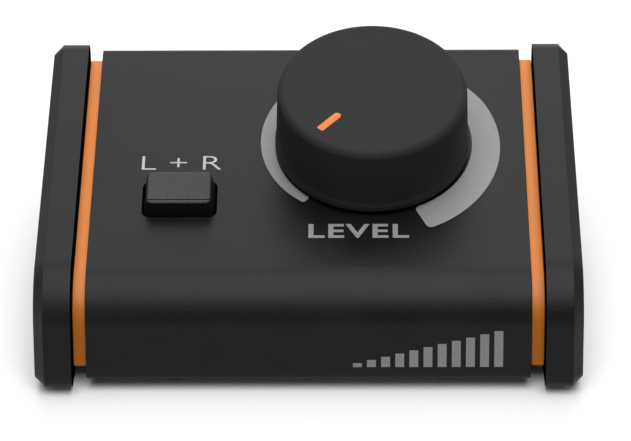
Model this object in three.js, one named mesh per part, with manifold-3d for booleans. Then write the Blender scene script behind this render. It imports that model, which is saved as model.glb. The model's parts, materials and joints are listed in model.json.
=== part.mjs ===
// Desktop audio level controller: a folded metal case between two moulded end cheeks,
// with one large level knob, one push button and five sockets in the rear panel.
// Millimetres, x to the right, y to the back, z up, origin under the middle of the case.

import * as THREE from 'three';
import { mergeVertices } from 'three/addons/utils/BufferGeometryUtils.js';
import Module from 'manifold-3d';

const wasm = await Module();
wasm.setup();

// Sockets in the rear panel; the row of them sets the width of the case
const jackBodyWidth = 15.6;
const jackGap = 1.4;
const miniBodyWidth = 8.6;
const miniSideGap = 0.9;
const jackSideMargin = 4.8;
const jackPitch = jackBodyWidth + jackGap;
const jackInnerOffset = miniBodyWidth / 2 + miniSideGap + jackBodyWidth / 2;
const bodyWidth = 2 * (jackInnerOffset + jackPitch + jackBodyWidth / 2 + jackSideMargin);

// Trim plate and end cheek on each side of the case
const cheekThickness = 6.95;
const trimThickness = 2.95;
const overallWidth = bodyWidth + 2 * (cheekThickness + trimThickness);

// Case seen from the side: a short leaning front, a fold and a long sloped top
const panelSlope = THREE.MathUtils.degToRad(17);
const panelLength = 67.75;
const frontHeight = 17.45;
const frontLean = THREE.MathUtils.degToRad(13.4);
const foldRadius = 12;
const sheet = 1;
const sheetFit = 0.1;
const hemRadius = 1.2;
const rearFlangeHeight = 8;
const bottomFlangeDepth = 9;

// Clearances shared by many pieces
const cutOverrun = 2;
const seatGap = 0.1;
const turnedSeatGap = 0.3;

// End cheeks stand proud of the case and the trim plates lie back from it
const cheekMargins = { bottom: 1.5, back: 0.5, top: 2, front: 2 };
const cheekChamfer = 2.1;
const cheekInnerEdge = 0.7;
const cheekCornerRadius = 3;
const cheekRim = 6;
const cheekPocketDepth = 3.6;
const cheekBossRadius = 4.2;
const trimMargins = { bottom: -1.3, back: -0.3, top: -2.5, front: -2.5 };
const trimCornerRadius = 0.5;

// Feet
const footRadius = 4.5;
const footTaper = 0.5;
const footEdge = 0.4;
const footGroundGap = 1;
const footSideInset = 9.6;
const footFrontInset = 17;
const footBackInset = 10.7;

// Machine screws
const cheekScrewHeadRadius = 2.75;
const cheekScrewHeadHeight = 1.7;
const cheekScrewRadius = 1.45;
const cheekScrewTip = 1.6;
const caseScrewHeadRadius = 2.6;
const caseScrewHeadHeight = 1.5;
const caseScrewRadius = 1.3;
const caseScrewLength = 4.4;
const screwHoleFit = 0.15;
const screwHeadFit = 0.4;
const screwSocketShare = 0.42;
const screwSocketDepthShare = 0.6;
const screwCrownShare = 0.72;
const cheekScrewFrontInset = 12;
const cheekScrewBackInset = 10.7;
const cheekScrewLow = 9;
const cheekScrewHigh = 26;
const rearScrewSideInset = 6.6;
const rearScrewDrop = 4.9;
const baseScrewSideInset = 16.6;
const baseScrewFrontInset = 5;

// Level potentiometer, measured along its shaft from the top of the panel
const knobFromRight = 30.2;
const knobSide = bodyWidth / 2 - knobFromRight;
const knobFromBack = 28.85;
const potRadius = 8.3;
const potBottom = 10;
const potPlateRadius = 6;
const potPlateThickness = 0.6;
const potFlangeEdge = 0.5;
const bushingRadius = 3.5;
const bushingTop = 5.2;
const bushingHoleFit = 0.2;
const shaftRadius = 3;
const shaftFit = 0.09;
const shaftTop = 12.4;
const shaftStub = 7.4;
const washerRadius = 5.5;
const washerThickness = 0.5;
const nutAcrossFlats = 10;
const nutThickness = 2;
const threadFit = 0.1;
const potPinPitch = 5;
const potPinFirst = 5.9;
const potPinRow = 2.6;
const pinWidth = 0.8;
const pinReach = 0.9;
const pinRoot = 1;
const pinHoleFit = 0.2;

// Level knob
const knobFootGap = 0.8;
const knobTop = 15.8;
const knobFootRadius = 19.2;
const knobFootRing = 1.1;
const knobStep = 0.35;
const knobTopRadius = 18.5;
const knobEdgeRadius = 1.4;
const knobWall = 2.4;
const knobRoof = 2.6;
const knobHubRadius = 6;
const knobHubBottom = 5.7;
const insertRadius = 4.5;
const insertFit = 0.1;
const insertInset = 0.3;
const pointerInner = 9.3;
const pointerOuter = 15.1;
const pointerWidth = 1.5;
const pointerDepth = 0.7;
const pointerFit = 0.05;
const pointerClock = THREE.MathUtils.degToRad(-135.5);

// Push button and its switch
const buttonFromLeft = 17.3;
const buttonSide = buttonFromLeft - bodyWidth / 2;
const buttonDownSlope = 14.5;
const windowWidth = 14.6;
const windowDepth = 9.5;
const windowCorner = 1.5;
const buttonFit = 0.4;
const buttonTop = 4;
const buttonEdge = 0.4;
const buttonSkirt = 1.5;
const buttonTopWidth = 12.2;
const buttonTopDepth = 8;
const buttonCorner = 0.8;
const buttonWall = 1.2;
const buttonRoof = 2.8;
const plungerWidth = 3.2;
const plungerFit = 0.1;
const plungerSeat = 1.7;
const plungerGuideFit = 0.15;
const buttonTravel = 2;
const buttonDownGap = 0.5;
const switchWidth = 9;
const switchDepth = 8.2;
const switchHeight = 11;
const plungerStub = 5;
const plungerBottomGap = 0.6;
const switchPinPitch = 3.2;
const switchPinRow = 5;
const switchPinFirst = 2.6;
const springWire = 0.4;
const springRadius = 2.65;
const springTurns = 5;

// Upright control board between the potentiometer and the switch
const boardThickness = 1.6;
const boardFit = 0.2;
const controlBoardTop = 4.4;
const controlBoardHeight = 13;
const controlBoardSideMargin = 2;

// Sockets along their axes, measured from the rear panel's outer face
const jackBodyHeight = 11.6;
const jackBodyDepth = 21;
const jackNoseRadius = 5.5;
const jackNoseReach = 3;
const jackBoreRadius = 3.3;
const jackHoleFit = 0.2;
const jackChamberWidth = 10;
const jackChamberHeight = 8.8;
const jackChamberFront = 4;
const jackChamberBack = 1.6;
const jackNutAcrossFlats = 14;
const jackNutThickness = 2.1;
const contactWidth = 3;
const contactThickness = 0.4;
const contactReach = 2.75;
const contactTipLift = 0.7;
const tipContactLength = 10.5;
const ringContactLength = 7.5;
const contactSeatShare = 0.22;
const contactCrownShare = 0.78;
const miniBodyHeight = 7;
const miniBodyDepth = 12.5;
const miniNoseRadius = 2.95;
const miniNoseReach = 2.6;
const miniBoreRadius = 1.8;
const miniNutRadius = 4;
const miniNutThickness = 1.5;
const miniNutSlot = 1;

// Socket board on two posts above the chassis floor
const postHeight = 2;
const postRadius = 2.5;
const postBoreRadius = 1.1;
const postSideInset = 9.6;
const postFromFront = 28;
const boardScrewHeadRadius = 2;
const boardScrewHeadHeight = 1.3;
const boardScrewRadius = 0.95;
const boardScrewLength = 3.2;
const jackBoardFront = 24;
const jackBoardBackGap = 0.6;
const jackBoardSideInset = 4.6;

// Ribbon between the boards
const headerWidth = 9.4;
const headerThickness = 3.4;
const headerHeight = 4;
const headerSlotDepth = 1.6;
const headerSide = -3;
const upperHeaderDepth = 11;
const lowerHeaderFromFront = 25.4;
const ribbonWidth = 7.6;
const ribbonThickness = 0.9;
const ribbonFit = 0.25;
const ribbonReach = 9;

// The case itself, for outlines that keep to it
const noMargins = { bottom: 0, back: 0, top: 0, front: 0 };

// Fineness of the round shapes, in sides or steps
const fineSides = 56;
const roundSides = 28;
const smallSides = 20;
const screwSides = 12;
const hexSides = 6;
const foldSteps = 8;
const cornerSteps = 4;
const springStepsPerTurn = 10;
const springSides = 5;
const ribbonSteps = 14;
const edgeSteps = 3;

// Heights of the layers above the underside of the case
const chassisFloorBottom = sheet + sheetFit;
const chassisFloorTop = chassisFloorBottom + sheet;
const jackBoardBottom = chassisFloorTop + postHeight;
const jackBoardTop = jackBoardBottom + boardThickness;
const footHeight = cheekMargins.bottom + footGroundGap;

// Corners of the case from the side, counter-clockwise from the front bottom edge
const apex = new THREE.Vector2(frontHeight * Math.tan(frontLean), frontHeight);
const upSlope = new THREE.Vector2(Math.cos(panelSlope), Math.sin(panelSlope));
const backTop = apex.clone().addScaledVector(upSlope, panelLength);
const bodyDepth = backTop.x;
const caseCorners = [new THREE.Vector2(), new THREE.Vector2(bodyDepth, 0), backTop, apex];
const knobFoot = backTop.clone().addScaledVector(upSlope, -knobFromBack);
const rearPanelFace = bodyDepth - sheet - sheetFit;
const jackAxisHeight = jackBoardTop + jackBodyHeight / 2;
const miniAxisHeight = jackBoardTop + miniBodyHeight / 2;
const buttonBaseWidth = windowWidth - 2 * buttonFit;
const buttonBaseDepth = windowDepth - 2 * buttonFit;
const switchTop = buttonSkirt + buttonTravel + buttonDownGap;
const controlBoardBack = potRadius + boardFit;
const controlBoardFront = controlBoardBack + boardThickness;

// Finishes
const finishes = {
  powderCoat: { color: 0x2c2c2d, roughness: 0.62, metalness: 0 },
  zincSheet: { color: 0x9a9da0, roughness: 0.45, metalness: 1 },
  cheekPlastic: { color: 0x28282a, roughness: 0.6, metalness: 0 },
  orangePlate: { color: 0xd9762a, roughness: 0.5, metalness: 0 },
  blackScrew: { color: 0x1a1a1b, roughness: 0.4, metalness: 1 },
  rubber: { color: 0x161616, roughness: 0.85, metalness: 0 },
  softTouch: { color: 0x242425, roughness: 0.7, metalness: 0 },
  pointerOrange: { color: 0xf0752e, roughness: 0.5, metalness: 0 },
  brass: { color: 0xb08d4a, roughness: 0.35, metalness: 1 },
  nickel: { color: 0xb9b7b0, roughness: 0.3, metalness: 1 },
  grainedPlastic: { color: 0x303031, roughness: 0.75, metalness: 0 },
  boardGreen: { color: 0x1d4a2c, roughness: 0.5, metalness: 0 },
  socketPlastic: { color: 0x1b1b1c, roughness: 0.5, metalness: 0 },
  paleNylon: { color: 0xd8d4c8, roughness: 0.5, metalness: 0 },
  ribbonGrey: { color: 0x8d9093, roughness: 0.6, metalness: 0 },
};

// Joining and cutting

function toSolid(geometry) {
  const bare = geometry.clone();
  bare.deleteAttribute('normal');
  bare.deleteAttribute('uv');
  const merged = mergeVertices(bare);
  const corners = merged.index.array;
  const kept = [];
  for (let first = 0; first < corners.length; first += 3) {
    const face = [corners[first], corners[first + 1], corners[first + 2]];
    if (new Set(face).size === face.length) kept.push(...face);
  }
  const vertProperties = merged.getAttribute('position').array;
  return new wasm.Manifold(new wasm.Mesh({ numProp: 3, vertProperties, triVerts: new Uint32Array(kept) }));
}

function toGeometry(solid) {
  const mesh = solid.getMesh();
  const geometry = new THREE.BufferGeometry();
  geometry.setAttribute('position', new THREE.BufferAttribute(mesh.vertProperties, 3));
  geometry.setIndex(new THREE.BufferAttribute(mesh.triVerts, 1));
  geometry.computeVertexNormals();
  return geometry;
}

function cut(base, ...tools) {
  return toGeometry(tools.reduce((solid, tool) => solid.subtract(toSolid(tool)), toSolid(base)));
}

function join(base, ...others) {
  return toGeometry(others.reduce((solid, other) => solid.add(toSolid(other)), toSolid(base)));
}

// Basic shapes

function box(low, high) {
  const size = new THREE.Vector3().subVectors(high, low);
  const middle = new THREE.Vector3().addVectors(low, high).multiplyScalar(1 / 2);
  return new THREE.BoxGeometry(size.x, size.y, size.z).translate(middle.x, middle.y, middle.z);
}

// A box that is centred across x, from its width and its two corners in y and z
function centredBox(width, lowY, lowZ, highY, highZ) {
  return box(new THREE.Vector3(-width / 2, lowY, lowZ), new THREE.Vector3(width / 2, highY, highZ));
}

// Turned about the y axis; the profile is a list of radius and place along y
function turnedAlongY(profile, sides) {
  return new THREE.LatheGeometry(profile.map(([radius, along]) => new THREE.Vector2(radius, along)), sides);
}

// Turned about the z axis; the profile is a list of radius and height
function turned(profile, sides) {
  return turnedAlongY(profile, sides).rotateX(Math.PI / 2);
}

function rod(radius, bottom, top, sides) {
  return turned([[0, bottom], [radius, bottom], [radius, top], [0, top]], sides);
}

function rodAlongY(radius, near, far, sides) {
  return turnedAlongY([[0, near], [radius, near], [radius, far], [0, far]], sides);
}

function rodAlongX(radius, left, right, sides) {
  return rod(radius, left, right, sides).rotateY(Math.PI / 2);
}

function ring(innerRadius, outerRadius, bottom, top, sides) {
  const profile = [[innerRadius, bottom], [outerRadius, bottom], [outerRadius, top], [innerRadius, top]];
  return turned([...profile, profile[0]], sides);
}

function hexBlock(acrossFlats, bottom, top) {
  const cornerRadius = acrossFlats / 2 / Math.cos(Math.PI / hexSides);
  return rod(cornerRadius, bottom, top, hexSides);
}

// A closed solid through outlines of equal length, each at its own height
function lofted(layers) {
  const count = layers[0].outline.length;
  const last = (layers.length - 1) * count;
  const places = layers.flatMap(({ outline, height }) => outline.flatMap(({ x, y }) => [x, y, height]));
  const faces = THREE.ShapeUtils.triangulateShape(layers[0].outline, []).flatMap(([a, b, c]) => [
    c, b, a, last + a, last + b, last + c,
  ]);
  for (let start = 0; start < last; start += count) {
    for (let step = 0; step < count; step += 1) {
      const here = start + step;
      const next = start + (step + 1) % count;
      faces.push(here, next, next + count, here, next + count, here + count);
    }
  }
  const geometry = new THREE.BufferGeometry();
  geometry.setAttribute('position', new THREE.Float32BufferAttribute(places, 3));
  geometry.setIndex(faces);
  geometry.computeVertexNormals();
  return geometry;
}

// Swings a solid drawn in y and z, and raised along its third axis, into place along x
function layAlongX(geometry) {
  const acrossToY = new THREE.Vector3(0, 1, 0);
  const upToZ = new THREE.Vector3(0, 0, 1);
  const raisedToX = new THREE.Vector3(1, 0, 0);
  return geometry.applyMatrix4(new THREE.Matrix4().makeBasis(acrossToY, upToZ, raisedToX));
}

function sideSlab(outline, left, right) {
  return layAlongX(lofted([{ outline, height: left }, { outline, height: right }]));
}

// Outlines

// Moves every edge outwards by its own offset; edge 0 leaves corner 0
function offsetCorners(corners, offsets) {
  return corners.map((corner, index) => {
    const [arriving, leaving] = edgeNormals(corners, index);
    const [before, after] = [offsets.at(index - 1), offsets[index]];
    const leaning = arriving.dot(leaving);
    const across = 1 - leaning * leaning;
    return corner.clone()
      .addScaledVector(arriving, (before - after * leaning) / across)
      .addScaledVector(leaving, (after - before * leaning) / across);
  });
}

// Outward normals of the two edges that meet in a corner of a counter-clockwise outline
function edgeNormals(corners, index) {
  const here = corners[index];
  const before = corners.at(index - 1);
  const after = corners[(index + 1) % corners.length];
  const arriving = here.clone().sub(before).normalize();
  const leaving = after.clone().sub(here).normalize();
  return [new THREE.Vector2(arriving.y, -arriving.x), new THREE.Vector2(leaving.y, -leaving.x)];
}

// Rounds every corner with its own radius, in its own number of steps
function roundedOutline(corners, roundings) {
  return corners.flatMap((corner, index) => {
    const [arriving, leaving] = edgeNormals(corners, index);
    const { radius, steps } = roundings[index];
    const pull = -radius / (1 + arriving.dot(leaving));
    const centre = corner.clone().addScaledVector(arriving, pull).addScaledVector(leaving, pull);
    const turn = Math.acos(THREE.MathUtils.clamp(arriving.dot(leaving), -1, 1));
    return Array.from({ length: steps + 1 }, (_, step) => {
      const angle = arriving.angle() + (turn * step) / steps;
      return new THREE.Vector2(Math.cos(angle), Math.sin(angle)).multiplyScalar(radius).add(centre);
    });
  });
}

// The case from the side, grown by a margin on each side and then by an even offset,
// with one radius for its three tight corners
function caseOutline(margins, offset, cornerRadius) {
  const { bottom, back, top, front } = margins;
  const offsets = [bottom, back, top, front].map((margin) => margin + offset);
  const tight = { radius: cornerRadius, steps: cornerSteps };
  const fold = { radius: foldRadius + top + offset, steps: foldSteps };
  return roundedOutline(offsetCorners(caseCorners, offsets), [tight, tight, tight, fold]);
}

function roundedRectangle(width, depth, radius) {
  const corners = [[-1, -1], [1, -1], [1, 1], [-1, 1]].map(([across, along]) => (
    new THREE.Vector2(across * width / 2, along * depth / 2)
  ));
  return roundedOutline(corners, corners.map(() => ({ radius, steps: edgeSteps })));
}

// A flat strip of even thickness along a path in y and z, centred across x
function strip(path, thickness, width) {
  const normals = path.map((point, index) => {
    const before = path[Math.max(index - 1, 0)];
    const after = path[Math.min(index + 1, path.length - 1)];
    const along = after.clone().sub(before).normalize();
    return new THREE.Vector2(along.y, -along.x);
  });
  const side = (share) => path.map((point, index) => (
    point.clone().addScaledVector(normals[index], thickness * share)
  ));
  const shape = new THREE.Shape([...side(1 / 2), ...side(-1 / 2).reverse()]);
  const geometry = new THREE.ExtrudeGeometry(shape, { depth: width, bevelEnabled: false });
  return layAlongX(geometry.translate(0, 0, -width / 2));
}

// The scene graph: the case stands on its feet, and the panel frame lies on the sloped top

const controller = new THREE.Group();
const cheekReach = caseOutline(cheekMargins, 0, cheekCornerRadius).map((point) => point.x);
const frontReach = Math.min(...cheekReach);
const backReach = Math.max(...cheekReach, rearPanelFace + jackNoseReach);
const caseFrame = new THREE.Group();
caseFrame.position.set(0, -(frontReach + backReach) / 2, footHeight);
controller.add(caseFrame);

const panelFrame = new THREE.Group();
panelFrame.position.set(0, knobFoot.x, knobFoot.y);
panelFrame.rotation.x = panelSlope;
caseFrame.add(panelFrame);

const knobFrame = new THREE.Group();
knobFrame.position.x = knobSide;
panelFrame.add(knobFrame);

const buttonFrame = new THREE.Group();
buttonFrame.position.set(buttonSide, -buttonDownSlope, 0);
panelFrame.add(buttonFrame);

function piece(name, geometry, finish, frame) {
  const mesh = new THREE.Mesh(geometry, new THREE.MeshStandardMaterial(finish));
  mesh.name = name;
  frame.add(mesh);
  return mesh;
}

// Moves a cutter that is drawn in the panel frame into the case frame
function onPanel(geometry, side, downSlope) {
  return geometry.translate(side, -downSlope, 0).rotateX(panelSlope).translate(0, knobFoot.x, knobFoot.y);
}

// Fasteners

// Head above zero and shank below it, with a hexagon socket in the head
function screw(headRadius, headHeight, shankRadius, shankLength) {
  const body = turned([
    [0, -shankLength],
    [shankRadius, -shankLength],
    [shankRadius, 0],
    [headRadius, 0],
    [headRadius, headHeight * screwCrownShare],
    [headRadius * screwCrownShare, headHeight],
    [0, headHeight],
  ], screwSides);
  const socketWidth = 2 * headRadius * screwSocketShare;
  const socketBottom = headHeight * (1 - screwSocketDepthShare);
  return cut(body, hexBlock(socketWidth, socketBottom, headHeight + cutOverrun));
}

function cheekScrewPlaces() {
  const backScrew = bodyDepth - cheekScrewBackInset;
  return [
    { place: 'front', y: cheekScrewFrontInset, z: cheekScrewLow },
    { place: 'rear_low', y: backScrew, z: cheekScrewLow },
    { place: 'rear_high', y: backScrew, z: cheekScrewHigh },
  ];
}

const sides = [{ side: 'left', sign: -1 }, { side: 'right', sign: 1 }];
const rearScrewX = bodyWidth / 2 - rearScrewSideInset;
const rearScrewHeight = backTop.y - rearScrewDrop;
const baseScrewX = bodyWidth / 2 - baseScrewSideInset;
const postX = bodyWidth / 2 - postSideInset;

// Folded sheet-metal cover: bottom flange, front, fold, sloped top and rear flange
function topShell() {
  const across = bodyWidth / 2;
  const past = across + cutOverrun;
  const outer = sideSlab(caseOutline(noMargins, 0, hemRadius), -across, across);
  const inner = sideSlab(caseOutline(noMargins, -sheet, hemRadius - sheet), -past, past);
  const openBottom = centredBox(
    bodyWidth + cutOverrun, bottomFlangeDepth, -cutOverrun, bodyDepth - sheet, sheet + cutOverrun,
  );
  const openRear = centredBox(
    bodyWidth + cutOverrun, bodyDepth - sheet - cutOverrun, -cutOverrun, bodyDepth + cutOverrun,
    backTop.y - rearFlangeHeight,
  );
  const reach = sheet + cutOverrun;
  const bushingHole = rod(bushingRadius + bushingHoleFit, -reach, cutOverrun, roundSides);
  const buttonWindow = lofted([-reach, cutOverrun].map((height) => (
    { outline: roundedRectangle(windowWidth, windowDepth, windowCorner), height }
  )));
  const holes = sides.flatMap(({ sign }) => [
    rodAlongY(caseScrewRadius + screwHoleFit, bodyDepth - reach, bodyDepth + cutOverrun, screwSides)
      .translate(sign * rearScrewX, 0, rearScrewHeight),
    rod(caseScrewRadius + screwHoleFit, -cutOverrun, reach, screwSides)
      .translate(sign * baseScrewX, baseScrewFrontInset, 0),
  ]);
  return cut(
    outer, inner, openBottom, openRear,
    onPanel(bushingHole, knobSide, 0),
    onPanel(buttonWindow, buttonSide, buttonDownSlope),
    ...holes,
  );
}

// Folded tray: floor, rear panel and two side walls that carry the cheeks
function chassis() {
  const across = bodyWidth / 2;
  const block = sideSlab(caseOutline(noMargins, -sheet - sheetFit, hemRadius - sheet), -across, across);
  const room = centredBox(
    bodyWidth - 2 * sheet, -cutOverrun, chassisFloorTop, rearPanelFace - sheet, backTop.y + cutOverrun,
  );
  const screwHole = caseScrewRadius + screwHoleFit;
  const cheekHoles = cheekScrewPlaces().map(({ y, z }) => (
    rodAlongX(cheekScrewRadius + screwHoleFit, -across - cutOverrun, across + cutOverrun, screwSides)
      .translate(0, y, z)
  ));
  const pairedHoles = sides.flatMap(({ sign }) => [
    rodAlongY(screwHole, rearPanelFace - sheet - cutOverrun, rearPanelFace + cutOverrun, screwSides)
      .translate(sign * rearScrewX, 0, rearScrewHeight),
    rod(screwHole, 0, chassisFloorTop + cutOverrun, screwSides)
      .translate(sign * baseScrewX, baseScrewFrontInset, 0),
  ]);
  const jackHoles = jackPlaces().map(({ x }) => (
    rodAlongY(jackNoseRadius + jackHoleFit, rearPanelFace - sheet - cutOverrun, rearPanelFace + cutOverrun,
      roundSides).translate(x, 0, jackAxisHeight)
  ));
  const miniHole = rodAlongY(miniNoseRadius + jackHoleFit, rearPanelFace - sheet - cutOverrun,
    rearPanelFace + cutOverrun, smallSides).translate(0, 0, miniAxisHeight);
  return cut(block, room, ...cheekHoles, ...pairedHoles, ...jackHoles, miniHole);
}

// Moulded end cheek, from its inner face at x = 0 outwards, with screw bosses in a pocket
function cheek(sign) {
  const outline = (inset) => caseOutline(cheekMargins, -inset, cheekCornerRadius - inset);
  const layers = [
    { outline: outline(cheekInnerEdge), height: 0 },
    { outline: outline(0), height: cheekInnerEdge },
    { outline: outline(0), height: cheekThickness - cheekChamfer },
    { outline: outline(cheekChamfer), height: cheekThickness },
  ];
  const pocketOutline = caseOutline(cheekMargins, -cheekRim, cheekCornerRadius);
  const pocketLayers = [-cutOverrun, cheekPocketDepth].map((height) => ({ outline: pocketOutline, height }));
  const bosses = cheekScrewPlaces().map(({ y, z }) => (
    rod(cheekBossRadius, -2 * cutOverrun, cheekPocketDepth + cutOverrun, smallSides).translate(y, z, 0)
  ));
  const headSeat = cheekThickness - cheekScrewHeadHeight - seatGap;
  const holes = cheekScrewPlaces().flatMap(({ y, z }) => [
    rod(cheekScrewRadius + screwHoleFit, -cutOverrun, cheekThickness, screwSides).translate(y, z, 0),
    rod(cheekScrewHeadRadius + screwHeadFit, headSeat, cheekThickness + cutOverrun, smallSides)
      .translate(y, z, 0),
  ]);
  const pocket = cut(lofted(pocketLayers), ...bosses);
  const drawn = cut(lofted(layers), pocket, ...holes);
  return layAlongX(mirroredFor(sign, drawn));
}

// The left-hand twin of a piece that is drawn for the right, with its faces turned back out
function mirroredFor(sign, geometry) {
  if (sign > 0) return geometry;
  const twin = geometry.clone().scale(1, 1, -1);
  const corners = twin.index.array;
  for (let first = 0; first < corners.length; first += 3) {
    [corners[first], corners[first + 1]] = [corners[first + 1], corners[first]];
  }
  return twin;
}

// Coloured plate between the case and a cheek
function trimPlate(sign) {
  const [left, right] = sign > 0 ? [0, trimThickness] : [-trimThickness, 0];
  const plate = sideSlab(caseOutline(trimMargins, 0, trimCornerRadius), left, right);
  const holes = cheekScrewPlaces().map(({ y, z }) => (
    rodAlongX(cheekScrewRadius + screwHoleFit, left - cutOverrun, right + cutOverrun, screwSides)
      .translate(0, y, z)
  ));
  return cut(plate, ...holes);
}

function foot() {
  const bottom = -footHeight;
  const top = chassisFloorBottom;
  return turned([
    [0, bottom],
    [footRadius - footTaper - footEdge, bottom],
    [footRadius - footTaper, bottom + footEdge],
    [footRadius, top],
    [0, top],
  ], smallSides);
}

// Potentiometer, drawn along its shaft with the top of the panel at zero
function potHousing() {
  const top = -sheet - turnedSeatGap - potPlateThickness;
  const shell = turned([
    [0, -potBottom],
    [potRadius - potFlangeEdge, -potBottom],
    [potRadius, -potBottom + potFlangeEdge],
    [potRadius, top - potFlangeEdge],
    [potRadius - potFlangeEdge, top],
    [0, top],
  ], roundSides);
  const shaftRoom = rod(shaftRadius + shaftFit, -shaftStub - shaftFit, top + cutOverrun, roundSides);
  const pins = potPinPlaces().map(({ x, z }) => (
    box(
      new THREE.Vector3(x - pinWidth / 2, -controlBoardFront - pinReach, z - pinWidth / 2),
      new THREE.Vector3(x + pinWidth / 2, -potRadius / 2, z + pinWidth / 2),
    )
  ));
  return cut(join(shell, ...pins), shaftRoom);
}

function potPinPlaces() {
  return [0, potPinRow].flatMap((drop) => [-potPinPitch, 0, potPinPitch].map((x) => (
    { x, z: -potPinFirst - drop }
  )));
}

function potBushing() {
  const plateTop = -sheet - turnedSeatGap;
  const bore = shaftRadius + shaftFit;
  return turned([
    [bore, plateTop - potPlateThickness],
    [potPlateRadius, plateTop - potPlateThickness],
    [potPlateRadius, plateTop],
    [bushingRadius, plateTop],
    [bushingRadius, bushingTop],
    [bore, bushingTop],
    [bore, plateTop - potPlateThickness],
  ], roundSides);
}

function potShaft() {
  return rod(shaftRadius, -shaftStub, shaftTop, roundSides);
}

function potWasher() {
  const top = turnedSeatGap + washerThickness;
  return ring(bushingRadius + threadFit, washerRadius, turnedSeatGap, top, roundSides);
}

function potNut() {
  const bottom = turnedSeatGap + washerThickness;
  const blank = hexBlock(nutAcrossFlats, bottom, bottom + nutThickness);
  return cut(blank, rod(bushingRadius + threadFit, 0, bushingTop, roundSides));
}

// Knob: a cup with a foot ring and a rounded top edge, and a hub inside it
function knobCap() {
  const bodyRadius = knobFootRadius - knobStep;
  const ringTop = knobFootGap + knobFootRing;
  const edgeCentre = knobTop - knobEdgeRadius;
  const roundedEdge = Array.from({ length: edgeSteps + 1 }, (_, step) => {
    const angle = (Math.PI / 2) * (step / edgeSteps);
    return [
      knobTopRadius - knobEdgeRadius + knobEdgeRadius * Math.cos(angle),
      edgeCentre + knobEdgeRadius * Math.sin(angle),
    ];
  });
  const roof = knobTop - knobRoof;
  const cap = turned([
    [0, roof],
    [insertRadius + insertFit, roof],
    [insertRadius + insertFit, knobHubBottom],
    [knobHubRadius, knobHubBottom],
    [knobHubRadius, roof],
    [knobTopRadius - knobWall, roof],
    [knobFootRadius - knobWall, knobFootGap],
    [knobFootRadius, knobFootGap],
    [knobFootRadius, ringTop],
    [bodyRadius, ringTop + knobStep],
    ...roundedEdge,
    [0, knobTop],
  ], fineSides);
  return cut(cap, pointerBar(pointerFit, cutOverrun));
}

// Pointer bar on the knob's top, square at its outer end and round at its inner end
function pointerBar(grow, rise) {
  const half = pointerWidth / 2 + grow;
  const shape = new THREE.Shape();
  shape.moveTo(pointerOuter + grow, -half);
  shape.lineTo(pointerOuter + grow, half);
  shape.lineTo(pointerInner + pointerWidth / 2, half);
  shape.absarc(pointerInner + pointerWidth / 2, 0, half, Math.PI / 2, -Math.PI / 2, false);
  const depth = pointerDepth + rise;
  const bar = new THREE.ExtrudeGeometry(shape, { depth, bevelEnabled: false, curveSegments: smallSides / 2 });
  return bar.translate(0, 0, knobTop - pointerDepth - grow).rotateZ(Math.PI / 2 - pointerClock);
}

function knobInsert() {
  const bottom = knobHubBottom + insertInset;
  return ring(shaftRadius + shaftFit, insertRadius, bottom, knobTop - knobRoof - insertInset, roundSides);
}

// Push button with a hollow underside, a socket for the plunger and drafted sides
function buttonCap() {
  const draft = (width, depth, height) => ({ outline: roundedRectangle(width, depth, buttonCorner), height });
  const body = lofted([
    draft(buttonBaseWidth, buttonBaseDepth, -buttonSkirt),
    draft(buttonBaseWidth, buttonBaseDepth, 0),
    draft(buttonTopWidth, buttonTopDepth, buttonTop - buttonEdge),
    draft(buttonTopWidth - 2 * buttonEdge, buttonTopDepth - 2 * buttonEdge, buttonTop),
  ]);
  const room = centredBox(
    buttonTopWidth - 2 * buttonWall, buttonWall - buttonTopDepth / 2, -buttonSkirt - cutOverrun,
    buttonTopDepth / 2 - buttonWall, buttonTop - buttonRoof,
  );
  const half = plungerWidth / 2 + plungerFit;
  const socketTop = buttonTop - buttonRoof + plungerSeat + plungerFit;
  const plungerSocket = centredBox(2 * half, -half, 0, half, socketTop);
  return cut(body, room, plungerSocket);
}

function switchPlunger() {
  const half = plungerWidth / 2;
  const top = buttonTop - buttonRoof + plungerSeat;
  return centredBox(plungerWidth, -half, -switchTop - plungerStub, half, top);
}

function switchHousing() {
  const back = buttonDownSlope - controlBoardFront - boardFit;
  const body = centredBox(switchWidth, back - switchDepth, -switchTop - switchHeight, back, -switchTop);
  const half = plungerWidth / 2 + plungerGuideFit;
  const deepest = switchTop + plungerStub + buttonTravel + plungerBottomGap;
  const guide = centredBox(2 * half, -half, -deepest, half, -switchTop + cutOverrun);
  const pins = switchPinPlaces().map(({ x, z }) => (
    box(
      new THREE.Vector3(x - pinWidth / 2, back - pinRoot, z - pinWidth / 2),
      new THREE.Vector3(x + pinWidth / 2, buttonDownSlope - controlBoardBack + pinReach, z + pinWidth / 2),
    )
  ));
  return cut(join(body, ...pins), guide);
}

function switchPinPlaces() {
  return [0, switchPinRow].flatMap((drop) => [-switchPinPitch, 0, switchPinPitch].map((x) => (
    { x, z: -switchTop - switchPinFirst - drop }
  )));
}

// Return spring round the plunger, one wire in a helix between the housing and the cap
class Helix extends THREE.Curve {
  getPoint(share, target = new THREE.Vector3()) {
    const bottom = -switchTop + seatGap + springWire / 2;
    const top = buttonTop - buttonRoof - seatGap - springWire / 2;
    const angle = share * springTurns * 2 * Math.PI;
    return target.set(
      springRadius * Math.cos(angle),
      springRadius * Math.sin(angle),
      THREE.MathUtils.lerp(bottom, top, share),
    );
  }
}

function switchSpring() {
  const section = new THREE.Shape(Array.from({ length: springSides }, (_, step) => {
    const angle = (step / springSides) * 2 * Math.PI;
    return new THREE.Vector2(Math.cos(angle), Math.sin(angle)).multiplyScalar(springWire / 2);
  }));
  const steps = springTurns * springStepsPerTurn;
  return new THREE.ExtrudeGeometry(section, { steps, extrudePath: new Helix(), bevelEnabled: false });
}

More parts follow.
